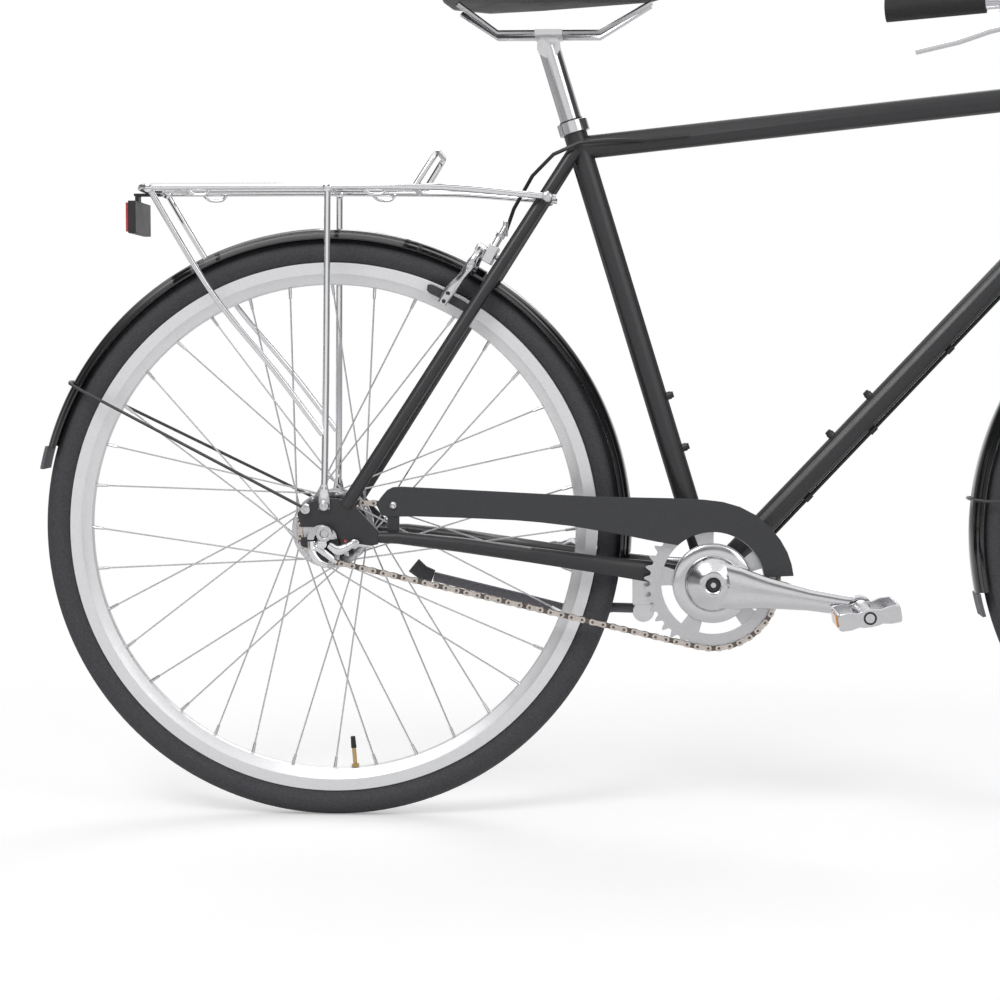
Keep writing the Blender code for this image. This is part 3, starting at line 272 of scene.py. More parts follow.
# Materials: every finish is built from nodes, and uniform values are on the shader itself.
def finish_of(name, colour, roughness, metallic=0.0, coat=0.0, coat_roughness=0.05, scale=400.0,
              spread=0.15, rough_spread=0.08, bump=0.05, bump_scale=900.0, wave=0.0):
    material = bpy.data.materials.new(name)
    material.use_nodes = True
    nodes, links = material.node_tree.nodes, material.node_tree.links
    shader = nodes["Principled BSDF"]
    place = nodes.new("ShaderNodeTexCoord")
    grain = nodes.new("ShaderNodeTexNoise")
    grain.inputs["Scale"].default_value = scale
    grain.inputs["Detail"].default_value = 4.0
    links.new(place.outputs["Object"], grain.inputs["Vector"])
    ramp = nodes.new("ShaderNodeValToRGB")
    ramp.color_ramp.elements[0].position = 0.3
    ramp.color_ramp.elements[1].position = 0.7
    ramp.color_ramp.elements[0].color = (*[c * (1 - spread) for c in colour], 1)
    ramp.color_ramp.elements[1].color = (*[min(c * (1 + spread), 1) for c in colour], 1)
    links.new(grain.outputs["Fac"], ramp.inputs["Fac"])
    links.new(ramp.outputs["Color"], shader.inputs["Base Color"])
    spots = nodes.new("ShaderNodeTexNoise")
    spots.inputs["Scale"].default_value = scale / 6
    links.new(place.outputs["Object"], spots.inputs["Vector"])
    span = nodes.new("ShaderNodeMapRange")
    span.inputs["To Min"].default_value = max(roughness - rough_spread, 0.02)
    span.inputs["To Max"].default_value = min(roughness + rough_spread, 1.0)
    links.new(spots.outputs["Fac"], span.inputs["Value"])
    links.new(span.outputs["Result"], shader.inputs["Roughness"])
    shader.inputs["Metallic"].default_value = metallic
    shader.inputs["Coat Weight"].default_value = coat
    shader.inputs["Coat Roughness"].default_value = coat_roughness
    if bump:
        if wave:
            fine = nodes.new("ShaderNodeTexVoronoi")
            height = "Distance"
        else:
            fine = nodes.new("ShaderNodeTexNoise")
            height = "Fac"
        fine.inputs["Scale"].default_value = bump_scale
        links.new(place.outputs["Object"], fine.inputs["Vector"])
        relief = nodes.new("ShaderNodeBump")
        relief.inputs["Strength"].default_value = bump
        relief.inputs["Distance"].default_value = 0.0004
        links.new(fine.outputs[height], relief.inputs["Height"])
        links.new(relief.outputs["Normal"], shader.inputs["Normal"])
    return material


LOOKS = {
    "paint": (finish_of("satin_black", (0.024, 0.024, 0.027), 0.36, coat=0.25, coat_roughness=0.3,
                        spread=0.12, bump=0.08, bump_scale=1500), "black_paint"),
    "guard": (finish_of("guard_black", (0.042, 0.043, 0.048), 0.55, spread=0.08, bump=0.12,
                        bump_scale=2500), "black_paint"),
    "gloss": (finish_of("gloss_black_finish", (0.008, 0.008, 0.009), 0.12, coat=1.0,
                        coat_roughness=0.04, rough_spread=0.03, bump=0.02, bump_scale=120),
              "gloss_black"),
    "plastic": (finish_of("grey_moulding", (0.13, 0.125, 0.14), 0.55, bump=0.15, bump_scale=2200),
                "grey_plastic"),
    "black_plastic": (finish_of("black_moulding", (0.018, 0.018, 0.02), 0.42, bump=0.15,
                                bump_scale=2200), "gloss_black"),
    "rubber": (finish_of("tyre_rubber", (0.055, 0.055, 0.062), 0.72, spread=0.25, bump=0.25,
                         bump_scale=1800), "rubber"),
    "grip": (finish_of("grip_rubber", (0.02, 0.02, 0.021), 0.65, bump=0.6, bump_scale=700, wave=1),
             "rubber"),
    "rim": (finish_of("satin_alloy", (0.86, 0.86, 0.875), 0.34, metallic=0.4, spread=0.03,
                      bump=0.04, bump_scale=1600), "rim_silver"),
    "ring": (finish_of("grey_alloy", (0.62, 0.62, 0.64), 0.38, metallic=0.75, spread=0.05,
                       bump=0.05, bump_scale=1600), "rim_silver"),
    "silver": (finish_of("polished_alloy", (0.70, 0.70, 0.72), 0.16, metallic=1.0, spread=0.04,
                         bump=0.03, bump_scale=900), "silver"),
    "steel": (finish_of("bright_steel", (0.68, 0.68, 0.70), 0.27, metallic=1.0, spread=0.06,
                        bump=0.03, bump_scale=1200), "silver"),
    "chrome": (finish_of("chrome_plate", (0.86, 0.86, 0.88), 0.07, metallic=1.0, spread=0.02,
                         rough_spread=0.03, bump=0.015, bump_scale=300), "chrome"),
    "chain": (finish_of("oiled_steel", (0.16, 0.135, 0.12), 0.38, metallic=1.0, spread=0.25,
                        rough_spread=0.12, bump=0.06, bump_scale=1400), "chain_steel"),
    "link": (finish_of("pale_link_steel", (0.66, 0.60, 0.56), 0.3, metallic=0.9, spread=0.18,
                       rough_spread=0.1, bump=0.05, bump_scale=1400), "chain_steel"),
    "brass": (finish_of("brass", (0.62, 0.45, 0.2), 0.3, metallic=1.0, spread=0.08), "silver"),
    "red": (finish_of("red_prisms", (0.62, 0.02, 0.03), 0.15, coat=1.0, spread=0.2, bump=0.8,
                      bump_scale=420, wave=1), "red_lens"),
    "amber": (finish_of("amber_prisms", (0.75, 0.28, 0.03), 0.2, coat=1.0, spread=0.2, bump=0.8,
                        bump_scale=420, wave=1), "red_lens"),
    "saddle": (finish_of("saddle_cover", (0.02, 0.02, 0.021), 0.5, coat=0.1, spread=0.2, bump=0.5,
                         bump_scale=650, wave=1), "saddle_black"),
}

# Camera, at the photograph's place.
camera_data = bpy.data.cameras.new("camera")
camera_data.lens = 81.7
camera_data.sensor_width = 36.0
camera = bpy.data.objects.new("camera", camera_data)
camera.location = (-0.2271, -2.700, 0.558)
camera.rotation_euler = (math.radians(86.23), 0.0, math.radians(2.7))
bpy.context.scene.collection.objects.link(camera)
bpy.context.scene.camera = camera


# Wheels
def build_wheel(prefix, axle, body, flange_r, flange_half, shell):
    tread = []
    for i in range(33):
        share = math.pi * (i / 32 * 1.24 - 0.12)
        t = -17.5 * math.cos(share)
        r = 330.5 + 15.5 * math.sin(share)
        if i in (9, 12, 20, 23):
            r -= 0.9
        tread.append((r, t))
    tread += [(316.4, 9.8), (316.4, -9.8)]
    Shape().lathe(tread, axle, 180).make(prefix + "_tyre_rubber", "rubber", body,
                                         (prefix + "_tyre",), angle=50)
    half = 12.0
    rim = [(RIM_OUTER, -half), (RIM_OUTER - 1.2, -half), (RIM_OUTER - 13.4, -half + 0.3),
           (RIM_OUTER - 14.4, -half + 1.1), (RIM_INNER + 6, -half + 4.2), (RIM_INNER + 1.4, -5.6),
           (RIM_INNER, -2.8), (RIM_INNER, 2.8), (RIM_INNER + 1.4, 5.6), (RIM_INNER + 6, half - 4.2),
           (RIM_OUTER - 14.4, half - 1.1), (RIM_OUTER - 13.4, half - 0.3), (RIM_OUTER - 1.2, half),
           (RIM_OUTER, half), (RIM_OUTER - 1, half - 1.6), (RIM_OUTER - 8, half - 2.4),
           (RIM_OUTER - 10, 0), (RIM_OUTER - 8, -half + 2.4), (RIM_OUTER - 1, -half + 1.6)]
    Shape().lathe(rim, axle, 180).make(prefix + "_rim_alloy", "rim", body, (prefix + "_rim",))
    nipples = Shape()
    for name, side in (("right", 1), ("left", -1)):
        wires = Shape()
        for j in range(18):
            offset = 20.0 * j + (0 if side > 0 else 10)
            lead = 1 if j % 2 else -1
            t_rim = (1.0 + lead * 2.0) * side
            t_hub = (flange_half + lead * 2.0) * side
            outer = around(axle, RIM_INNER, offset, t_rim)
            inner = around(axle, flange_r - 4, offset + lead * 60, t_hub)
            way = (inner - outer).normalized()
            wires.rod(inner, outer + way * 0.008, 1.0, 8)
            wires.ball(around(axle, flange_r - 4, offset + lead * 60, t_hub + lead * side * 0.6), 2.0,
                       0.7, (0, 1, 0))
            nipples.rod(outer - way * 0.0005, outer + way * 0.0125, 2.1, 10, 1.7)
        rim_edge = (flange_half + 1.4) * side
        low_edge = (flange_half - 1.4) * side
        flange = [(6, low_edge), (flange_r - 0.8, low_edge), (flange_r, (flange_half - 0.8) * side),
                  (flange_r, (flange_half + 0.8) * side), (flange_r - 0.8, rim_edge),
                  (flange_r - 8, rim_edge), (flange_r - 10, (flange_half + 0.6) * side),
                  (12, (flange_half + 0.6) * side), (12, (flange_half + 3.3) * side),
                  (6, (flange_half + 3.3) * side)]
        wires.lathe(flange, axle, 64)
        wires.make(prefix + "_wire_" + name, "steel", body, (prefix + "_spokes_" + name,))
    nipples.make(prefix + "_nipples", "steel", body)
    Shape().lathe(shell, axle, 64).make(prefix + "_hub_barrel", "silver", body,
                                        (prefix + "_hub_shell",))
    valve_at = -85.0 if prefix == "rear" else -95.0
    stem = Shape().rod(around(axle, 291, valve_at), around(axle, 262, valve_at), 2.5, 16)
    stem.rod(around(axle, 289.5, valve_at), around(axle, 286.5, valve_at), 5.0, 6)
    stem.make(prefix + "_valve", "brass", body)
    cap = Shape().rod(around(axle, 267, valve_at), around(axle, 253, valve_at), 3.3, 14, 2.8)
    cap.make(prefix + "_valve_cap", "black_plastic", body)


rear_shell = [(5.2, -24.0), (34, -24.0), (37.4, -22.5), (38, -20), (38, -14), (36.6, -12), (36.6, 12),
              (38, 14), (38, 20), (37.4, 22.5), (34, 24.0), (5.2, 24.0)]
front_shell = [(5.2, -28.1), (15.6, -28.1), (15.2, -24), (11, -18), (9.5, -10), (9.5, 10), (11, 18),
               (15.2, 24), (15.6, 28.1), (5.2, 28.1)]
build_wheel("rear", REAR, "rear_wheel", 46.0, 28.0, rear_shell)
build_wheel("front", FRONT, "front_wheel", 24.0, 32.0, front_shell)


# Chain and its two toothed wheels
def chain_loop():
    """The centre line of the chain as points and outward directions."""
    dx, dz = BRACKET
    length = math.hypot(dx, dz)
    lean = math.degrees(math.atan2(dz, dx))
    wide = math.degrees(math.acos((RING_R - SPROCKET_R) / length))
    loop = []
    for centre, radius, start, end in ((BRACKET, RING_R, lean - 180 + wide, lean + 180 - wide),
                                       (REAR, SPROCKET_R, lean + 180 - wide, lean + 180 + wide)):
        for i in range(121):
            angle = math.radians(start + (end - start) * i / 120)
            loop.append(Vector((centre[0] + radius * math.cos(angle),
                                centre[1] + radius * math.sin(angle))))
    return loop


def evenly(loop, pitch):
    runs = [(loop[(i + 1) % len(loop)] - loop[i]).length for i in range(len(loop))]
    count = int(round(sum(runs) / pitch / 2)) * 2
    step = sum(runs) / count
    spots, i, walked = [], 0, 0.0
    for n in range(count):
        while walked + runs[i] < n * step:
            walked += runs[i]
            i += 1
        share = (n * step - walked) / runs[i]
        spots.append(loop[i].lerp(loop[(i + 1) % len(loop)], share))
    return spots


def link_outline(a, b, radius, waist):
    """Figure-eight side plate between two pins."""
    way = (b - a).normalized()
    up = Vector((-way.y, way.x))
    outline = []
    for centre, sign in ((a, -1), (b, 1)):
        for k in range(9):
            angle = math.radians(-60 + 15 * k) if sign > 0 else math.radians(120 + 15 * k)
            outline.append(centre + (way * math.cos(angle) + up * math.sin(angle)) * radius)
        middle = (a + b) / 2 + up * waist * (1 if sign > 0 else -1)
        outline.append(middle)
    return [(p.x, p.y) for p in outline]


pins = evenly(chain_loop(), PITCH)
outer_plates = Shape()
inner_plates = Shape()
rollers = Shape()
for i, pin in enumerate(pins):
    after = pins[(i + 1) % len(pins)]
    inner = i % 2
    for side in (1, -1):
        near, far = ((1.9, 2.7) if inner else (2.8, 3.6))
        layer = inner_plates if inner else outer_plates
        layer.plate(link_outline(pin, after, 4.1, 2.7), CHAIN_T + near * side, CHAIN_T + far * side)
    rollers.cross((pin.x, pin.y), 3.8, CHAIN_T - 1.8, CHAIN_T + 1.8, 12, 0.3)
    rollers.cross((pin.x, pin.y), 1.7, CHAIN_T - 3.95, CHAIN_T + 3.95, 8, 0.3)
outer_plates.make("chain_outer_plates", "link", "frame", ("chain",))
inner_plates.make("chain_inner_plates", "chain", "frame", ("chain",))
rollers.make("chain_rollers", "chain", "frame", ("chain",))


def tooth_edge(teeth, pitch_r, phase):
    """Outer edge of a sprocket: seats for the rollers and rounded teeth between them."""
    shape = ((0.0, -3.7), (0.1, -3.5), (0.2, -2.6), (0.28, -0.6), (0.36, 1.6), (0.44, 3.2),
             (0.5, 3.6), (0.56, 3.2), (0.64, 1.6), (0.72, -0.6), (0.8, -2.6), (0.9, -3.5))
    return [((i + share) * 360 / teeth + phase, pitch_r + rise)
            for i in range(teeth) for share, rise in shape]


def seat_phase(centre):
    """Angle of a pin near the middle of the wrap, so that the rollers sit between teeth."""
    sign = 1 if centre == BRACKET else -1
    best = max(pins, key=lambda p: (p.x - centre[0]) * sign)
    return math.degrees(math.atan2(best.y - centre[1], best.x - centre[0]))


ring = Shape().band(BRACKET, tooth_edge(RING_TEETH, RING_R, seat_phase(BRACKET)), 60.0,
                    CHAIN_T - 1.2, CHAIN_T + 1.2)
ring.lathe([(17.2, CHAIN_T - 1.2), (47, CHAIN_T - 1.2), (47, CHAIN_T + 1.2), (17.2, CHAIN_T + 1.2)],
           BRACKET, 72)
for k in range(5):
    middle = 28 + 72 * k
    ring.sector(BRACKET, 46.9, 60.1, middle - 11, middle + 11, CHAIN_T - 1.2, CHAIN_T + 1.2)
ring.make("toothed_ring", "ring", "crankset", ("chainring",), 0.25)
cog = Shape().band(REAR, tooth_edge(SPROCKET_TEETH, SPROCKET_R, seat_phase(REAR)),
                   16.5, CHAIN_T - 1.2, CHAIN_T + 1.2)
cog.lathe([(5.2, 31.9), (16.6, 31.9), (17, 32.4), (17, 48.4), (16.4, 49), (5.2, 49)], REAR, 48)
cog.make("cog", "steel", "sprocket", ("rear_sprocket",), 0.25)


# Cranks
def build_crank(name, side, angle):
    body = "crankset"
    c, s = math.cos(angle), math.sin(angle)

    def on(distance, t, lift=0.0):
        return at(BRACKET[0] + distance * c - lift * s, t * side, BRACKET[1] + distance * s + lift * c)

    arm = Shape()
    widths = (27, 25, 18, 12.6, 11.6, 12) if side > 0 else (19, 18, 14, 11.4, 11.5, 12)
    arm.tube([on(8, 60), on(30, 62), on(64, 65.5), on(112, 70), on(150, 73), on(168, 74)],
             [(depth, wide) for depth, wide in zip((6.2, 6.4, 6.6, 6.6, 6.8, 6.2), widths)], 36, 6,
             T_AXIS * side, square=0.1)
    rim = 33.0 if side > 0 else 21.0
    arm.lathe([(9.4, 51 * side), (rim - 1.5, 51 * side), (rim, 52.5 * side), (rim, 56 * side),
               (rim - 2, 60 * side), (rim - 7, 64.4 * side), (18.5, 67.4 * side), (16, 69.4 * side),
               (11, 70 * side), (9.4, 69 * side)], BRACKET, 72)
    end = (BRACKET[0] + CRANK_LENGTH * c, BRACKET[1] + CRANK_LENGTH * s)
    arm.lathe([(0.01, 66 * side), (12.6, 66 * side), (14, 67.4 * side), (14, 79.6 * side),
               (12.6, 81 * side), (0.01, 81 * side)], end, 40)
    arm.cross(end, 7.0, 81 * side, 87 * side, 6)
    arm.cross(end, 4.9, 80 * side, 175 * side, 20)
    if side > 0:
        face = CHAIN_T + 1.5
        arm.lathe([(10, face), (44.5, face), (46, face + 1), (46, face + 2.6), (44.5, face + 3.8),
                   (36, face + 4), (24, face + 5), (20, 55), (10, 55)], BRACKET, 72)
    arm.make("crank_arm_" + name, "silver", body, ("crank_" + name,), angle=40)


build_crank("right", 1, CRANK_ANGLE)
build_crank("left", -1, CRANK_ANGLE + math.pi)
spindle = Shape().cross(BRACKET, 8.9, -62, 62, 32)
for side in (1, -1):
    spindle.cross(BRACKET, 8.6, 62 * side, 68.6 * side, 32, 1.2)
spindle.make("spindle_bar", "black_plastic", "crankset", ("crank_spindle",))
bolts = Shape()
for side in (1, -1):
    bolts.lathe([(9.0, 66 * side), (10.8, 66 * side), (11, 68.4 * side), (10, 69 * side),
                 (9.0, 68.6 * side)], BRACKET, 40)
    bolts.cross(BRACKET, 3.4, 68.4 * side, 69 * side, 6, 0.1)
bolts.make("crank_bolt_rings", "steel", "crankset")


# Smooth copies of the plainer nodes, with their edges broken
DRESSED_ANGLE = 38


def dress(node, look, soft_edge):
    source = frame["nodes"][node]
    mesh = source.data.copy()
    mesh.name = node + "_dressed"
    if mesh.has_custom_normals:
        work = bmesh.new()
        work.from_mesh(mesh)
        fresh = bpy.data.meshes.new(mesh.name)
        index = {v: i for i, v in enumerate(work.verts)}
        fresh.from_pydata([tuple(v.co) for v in work.verts], [],
                          [[index[v] for v in f.verts] for f in work.faces])
        work.free()
        mesh = fresh
    work = bmesh.new()
    work.from_mesh(mesh)
    bmesh.ops.remove_doubles(work, verts=work.verts, dist=0.00001)
    bmesh.ops.dissolve_limit(work, angle_limit=math.radians(0.5), verts=work.verts, edges=work.edges)
    work.to_mesh(mesh)
    work.free()
    return finish_piece(mesh, node + "_finish", look, NODE_BODY[node], (node,), soft_edge,
                        DRESSED_ANGLE)


DRESSED = {
    "frame": ("paint", 0.4), "fork": ("paint", 0.6),
    "rear_fender_flap": ("plastic", 0.5), "front_fender_flap": ("plastic", 0.5),
    "rear_fender_stays": ("paint", 0), "front_fender_stays": ("paint", 0),
    "reflector_housing": ("black_plastic", 0.8), "reflector_lens": ("red", 0.5),
    "rear_brake_body": ("silver", 0.8), "front_brake_body": ("silver", 0.8),
    "rear_brake_cable": ("black_plastic", 0), "shift_cable": ("black_plastic", 0),
    "kickstand_bracket": ("silver", 1.0), "kickstand_leg": ("plastic", 0.3),
    "kickstand_foot": ("rubber", 0.5), 
    "rear_axle": ("steel", 0.3), "front_axle": ("steel", 0.3), "axle_nut_right": ("steel", 0.4),
    "axle_nut_left": ("steel", 0.4), "headset_lower_cup": ("silver", 0.5),
    "headset_upper_cup": ("silver", 0.5), "bottom_bracket_cup_right": ("steel", 0.4),
    "bottom_bracket_cup_left": ("steel", 0.4), "stem": ("silver", 0.6), "handlebar": ("silver", 0.4),
    "grip_right": ("grip", 0.8), "grip_left": ("grip", 0.8), "brake_lever_right": ("silver", 0.4),
    "brake_lever_left": ("silver", 0.4), "shifter_ring": ("black_plastic", 0.8),
    "seat_clamp": ("silver", 0.6), "seatpost": ("silver", 0.4), "saddle": ("saddle", 0),
}
for node, (look, soft_edge) in DRESSED.items():
    dress(node, look, soft_edge)


# Mudguards
def build_mudguard(prefix, axle, arc):
    outside, inside = [], []
    for i in range(25):
        t = -25 + 50 * i / 24
        dip = 12 * (abs(t) / 25) ** 2.4
        ridge = 0.9 if 15.5 < abs(t) < 19 else 0.0
        outside.append((356.9 - dip - ridge, t))
        inside.append((355.4 - dip - ridge, t * 23.5 / 25))
    Shape().lathe(outside + inside[::-1], axle, 130, arc).make(
        prefix + "_mudguard", "gloss", "frame" if prefix == "rear" else "steering",
        (prefix + "_fender",), angle=50)


build_mudguard("rear", REAR, (-9.0, 164.0))
build_mudguard("front", FRONT, (62.0, 192.0))


# Chainguard: a thin pressing, drawn as a flat plate with a rounded front
def build_guard():
    top = [(57, 32), (63, 41), (70, 49), (77, 52.4), (87, 53), (200, 47.6), (312, 42), (400, 40.4),
           (440, 38.8), (462, 36.2), (482, 30.4), (500, 21), (516, 8), (529, -8), (537, -22), (542, -36),
           (544.6, -50)]
    hollow = []
    for i in range(25):
        angle = math.radians(8 + 124 * i / 24)
        hollow.append((BRACKET[0] + 61 * math.cos(angle), BRACKET[1] + 61 * math.sin(angle)))
    low = [(385, -10.6), (352, -4), (318, 2), (285, 7.4), (250, 11.4), (218, 14), (160, 16.4), (104, 18),
           (72, 17.4), (63, 19.4)]
    Shape().plate(top + hollow + low, 55.1, 56.9).make("guard_plate", "guard", "frame",
                                                       ("chainguard",), 0.7)
    bolt = Shape().lathe([(0.02, 56.8), (5, 56.8), (5, 58), (4, 59.6), (2.4, 60.4), (1.8, 59.2),
                          (0.02, 59.2)], (77, 31), 24)
    bolt.make("guard_bolt", "steel", "frame", ("chainguard",))


build_guard()


# Rack of bent chrome rod
RACK_Z = 402.5


def stay_at(z):
    share = (z - 34) / 413
    return 22 + share * (seat_x(447) - 6 - 22), 66 - share * 50


def build_rack():
    z = RACK_Z
    rods = Shape()
    foot = stay_at(z - 11)
    path = []
    for side in (1, -1):
        leg = [at(foot[0] + 14, (foot[1] + 13.5) * side, z - 12),
               at(foot[0] - 24, (foot[1] + 17) * side, z - 9),
               at(160, 52 * side, z - 3), at(106, 60 * side, z - 1), at(-20, 60 * side, z),
               at(-180, 60 * side, z), at(-207, 57 * side, z), at(-219, 45 * side, z),
               at(-222, 25 * side, z)]
        path += leg if side > 0 else leg[::-1]
    rods.tube(path, 3.9, 16, 6, (0, 0, 1))
    for x in (100.0, 2.0, -182.0):
        rods.tube([at(x, -60, z), at(x, 60, z)], 3.5, 14, 1, (0, 0, 1))
    rods.tube([at(-222, 0, z), at(100, 0, z)], 3.2, 14, 1, (0, 0, 1))
    hoop = [at(104, 60, z), at(118, 58, z + 22), at(127, 54, z + 36), at(130, 40, z + 40),
            at(130, 0, z + 40), at(130, -40, z + 40), at(127, -54, z + 36), at(118, -58, z + 22),
            at(104, -60, z)]
    rods.tube(hoop, 3.5, 14, 6, (0, 0, 1))
    for side in (1, -1):
        rods.tube([at(2, 60 * side, z - 1), at(1, 62 * side, 300), at(0, 64 * side, 200),
                   at(-1.6, 69 * side, 80), at(-2.2, 71.6 * side, 50)], 3.9, 16, 5, (1, 0, 0))
        rods.tube([at(-2.2, 71.6 * side, 56), at(-2.4, 71.4 * side, 44), at(-2.4, 71.3 * side, 27)],
                  [(3.9, 3.9), (6.5, 2.0), (6.5, 1.9)], 16, 3, (1, 0, 0))
        rods.tube([at(-208, 56 * side, z - 1), at(-160, 59 * side, 320), at(-123, 61 * side, 264),
                   at(-60, 65 * side, 188), at(-4, 69 * side, 114)], 3.5, 16, 4, (1, 0, 1))
        rods.cross((-208, z - 1.4), 5.4, 52 * side, 63 * side, 20)
        rods.cross((2, z - 1.6), 5.2, 55 * side, 64.6 * side, 20)
        for x in (-150.0, 56.0):
            rods.tube([at(x - 13, 57 * side, z - 3), at(x - 6, 57 * side, z - 8.6),
                       at(x + 8, 57 * side, z - 9), at(x + 14, 57 * side, z - 3)], 1.9, 10, 5,
                      (0, 1, 0))
    rods.make("rack_rods", "chrome", "frame", ("rack",), angle=50)
    screws = Shape()
    for side in (1, -1):
        for x, z_at, t in ((-2.4, 31, 72.6), (foot[0] + 4, z - 11.6, foot[1] + 16.5)):
            screws.lathe([(0.02, t * side), (6.2, t * side), (6.4, (t + 1) * side),
                          (5.2, (t + 3.2) * side), (2.6, (t + 3.9) * side), (2.2, (t + 2.4) * side),
                          (0.02, (t + 2.4) * side)], (x, z_at), 24)
        screws.lathe([(0.02, 69 * side), (6.6, 69 * side), (6.8, 72 * side), (5.2, 75.4 * side),
                      (2.4, 76 * side), (2.2, 74.6 * side), (0.02, 74.6 * side)], (-24, 27), 24)
    screws.make("rack_screws", "steel", "frame")


build_rack()


# Rim brakes
def build_brake(prefix, axle, mount, sign, support, body):
    lead = math.asin((support + 23.9) / 377)
    angle = math.radians(mount) + lead * sign
    out = Vector((math.cos(angle), 0, math.sin(angle)))
    past = Vector((-math.sin(angle), 0, math.cos(angle))) * sign

    def place(radius, along, t):
        return at(axle[0] + out.x * radius + past.x * along, t,
                  axle[1] + out.z * radius + past.z * along)

    for name, side in (("right", 1), ("left", -1)):
        rider = prefix + "_arm_" + name
        node = prefix + "_brake_arm_" + name
        arm = Shape().tube([place(377, 0, 11.5 * side), place(374, 0, 25 * side),
                            place(364, 0.5, 33 * side), place(348, 2, 34 * side),
                            place(332, 5, 32 * side), place(316, 8.4, 31.2 * side),
                            place(298, 10, 31 * side)],
                           [(5.6, 5.8), (5.8, 5.8), (5.8, 4), (5.6, 3.6), (5.6, 3.6), (6.8, 3.4),
                            (5.4, 3.2)], 24, 6, out, square=0.12)
        arm.rod(place(374, 0, 27 * side), place(374, -4.5, 27 * side), 5.0, 20)
        arm.make(prefix + "_caliper_" + name, "silver", rider, (node,))
        # The black piece in each arm's slot is painted shade: it stands in for the dark opening round
        # the pad bolt.
        slot_shade = Shape()
        for radius in (312.0, 301.5):
            slot_shade.rod(place(radius, 8.8, 33 * side), place(radius, 8.8, 34.9 * side), 2.5, 16)
        slot_shade.tube([place(304, 8.8, 34.3 * side), place(310, 8.6, 34.3 * side)], 1.9, 12, 1, past)
        slot_shade.make(prefix + "_arm_slot_" + name, "black_plastic", rider)
        bolt = Shape().rod(place(307, 8, 34.4 * side), place(307, 8, 37.0 * side), 3.6, 6)
        bolt.rod(place(307, 8, 22 * side), place(307, 8, 31 * side), 3.3, 16)
        bolt.make(prefix + "_pad_bolt_" + name, "steel", rider, (node,))
        pad = Shape().tube([place(306, -19, 18.6 * side), place(307, -15, 18.6 * side),
                            place(307.4, 8, 18.6 * side), place(307, 30, 18.6 * side),
                            place(306, 34.6, 18.6 * side)],
                           [(2.6, 3.2), (4.9, 3.9), (5, 4), (4.9, 3.9), (2.8, 3.2)], 20, 4, out,
                           square=0.3)
        pad.make(prefix + "_brake_pad_" + name, "rubber", rider, (node,))
    extras = Shape().rod(place(386, -12, 12), place(398, -12, 9), 4.4, 20)
    extras.rod(place(398, -12, 9), place(402, -12, 8.4), 5.6, 8)
    extras.rod(place(402, -12, 8.4), place(414, -12, 7.0), 3.2, 20)
    extras.rod(place(377, 1, 0), place(377, 5, 0), 6.4, 6)
    extras.rod(place(377, 5, 0), place(377, 8, 0), 4.4, 20)
    extras.make(prefix + "_adjuster", "steel", body)
    return place


rear_place = build_brake("rear", REAR, 57.1553, 1, 6.0, "frame")
build_brake("front", FRONT, 118.4, -1, 15.0, "steering")
housing_low = at(206.5, 5, 350.75)
barrel = rear_place(414, -12, 7.0)
wire = Shape().tube([barrel, barrel.lerp(housing_low, 0.5), housing_low], 1.0, 10, 3, (0, 1, 0))
way = (housing_low - barrel).normalized()
wire.rod(housing_low - way * 0.014, housing_low + way * 0.004, 3.4, 16, 2.8)
wire.make("rear_cable_end", "steel", "frame")


# Shift unit: ribbed chrome dome over the axle nut, bell crank and adjuster
def build_shift_unit():
    dome = Shape()
    for i in range(5):
        t = 70 + 3.3 * i
        dome.sector((-4, -8), 9.5, 17.5 - abs(i - 2) * 1.1, 5, 178, t, t + 2.3, 28)
        dome.sector((-4, -8), 9.0, 15.0 - abs(i - 2), 8, 175, t + 2.2, t + 3.4, 28)
    dome.tube([at(-16, 78, -10), at(-15, 79, -22), at(-8, 79, -33), at(2, 79, -38)],
              [(5, 5.2), (5, 5), (5, 5), (4, 4)], 20, 6)
    dome.tube([at(4, 80, -14), at(14, 80, -20), at(24, 79, -17), at(32, 78, -12)],
              [(4.4, 4.6), (4.6, 6), (4.4, 5), (3, 3.4)], 20, 6)
    dome.tube([at(-12, 82, -16), at(-2, 83, -22), at(8, 82, -30), at(13, 80, -34)],
              [(2.4, 3.4), (2.6, 4), (2.4, 3.6), (2, 2.4)], 20, 6)
    dome.cross((-4, -12), 6.4, 70, 86, 28)
    dome.make("shift_dome", "chrome", "frame", ("shift_unit",), angle=50)
    core = Shape().lathe([(5.2, 69.5), (16, 69.5), (18, 71), (17, 76), (5.2, 77)], (-2, -14), 40)
    core.cross((-4, -30), 7.6, 70, 81, 28)
    core.make("shift_core", "black_plastic", "frame", ("shift_unit",))
    pulley = Shape().lathe([(0.02, 76), (5.4, 76), (5.4, 77), (4, 78), (5.4, 79), (5.4, 80), (3, 81),
                            (0.02, 81)], (34, -13), 28)
    pulley.rod(at(36, 78, -14), at(52, 70, -17), 2.2, 14)
    pulley.make("shift_pulley", "steel", "frame")
    Shape().ball(at(23.5, 83.6, -9), 1.7).make("shift_mark", "red", "frame", ("shift_unit",))


build_shift_unit()


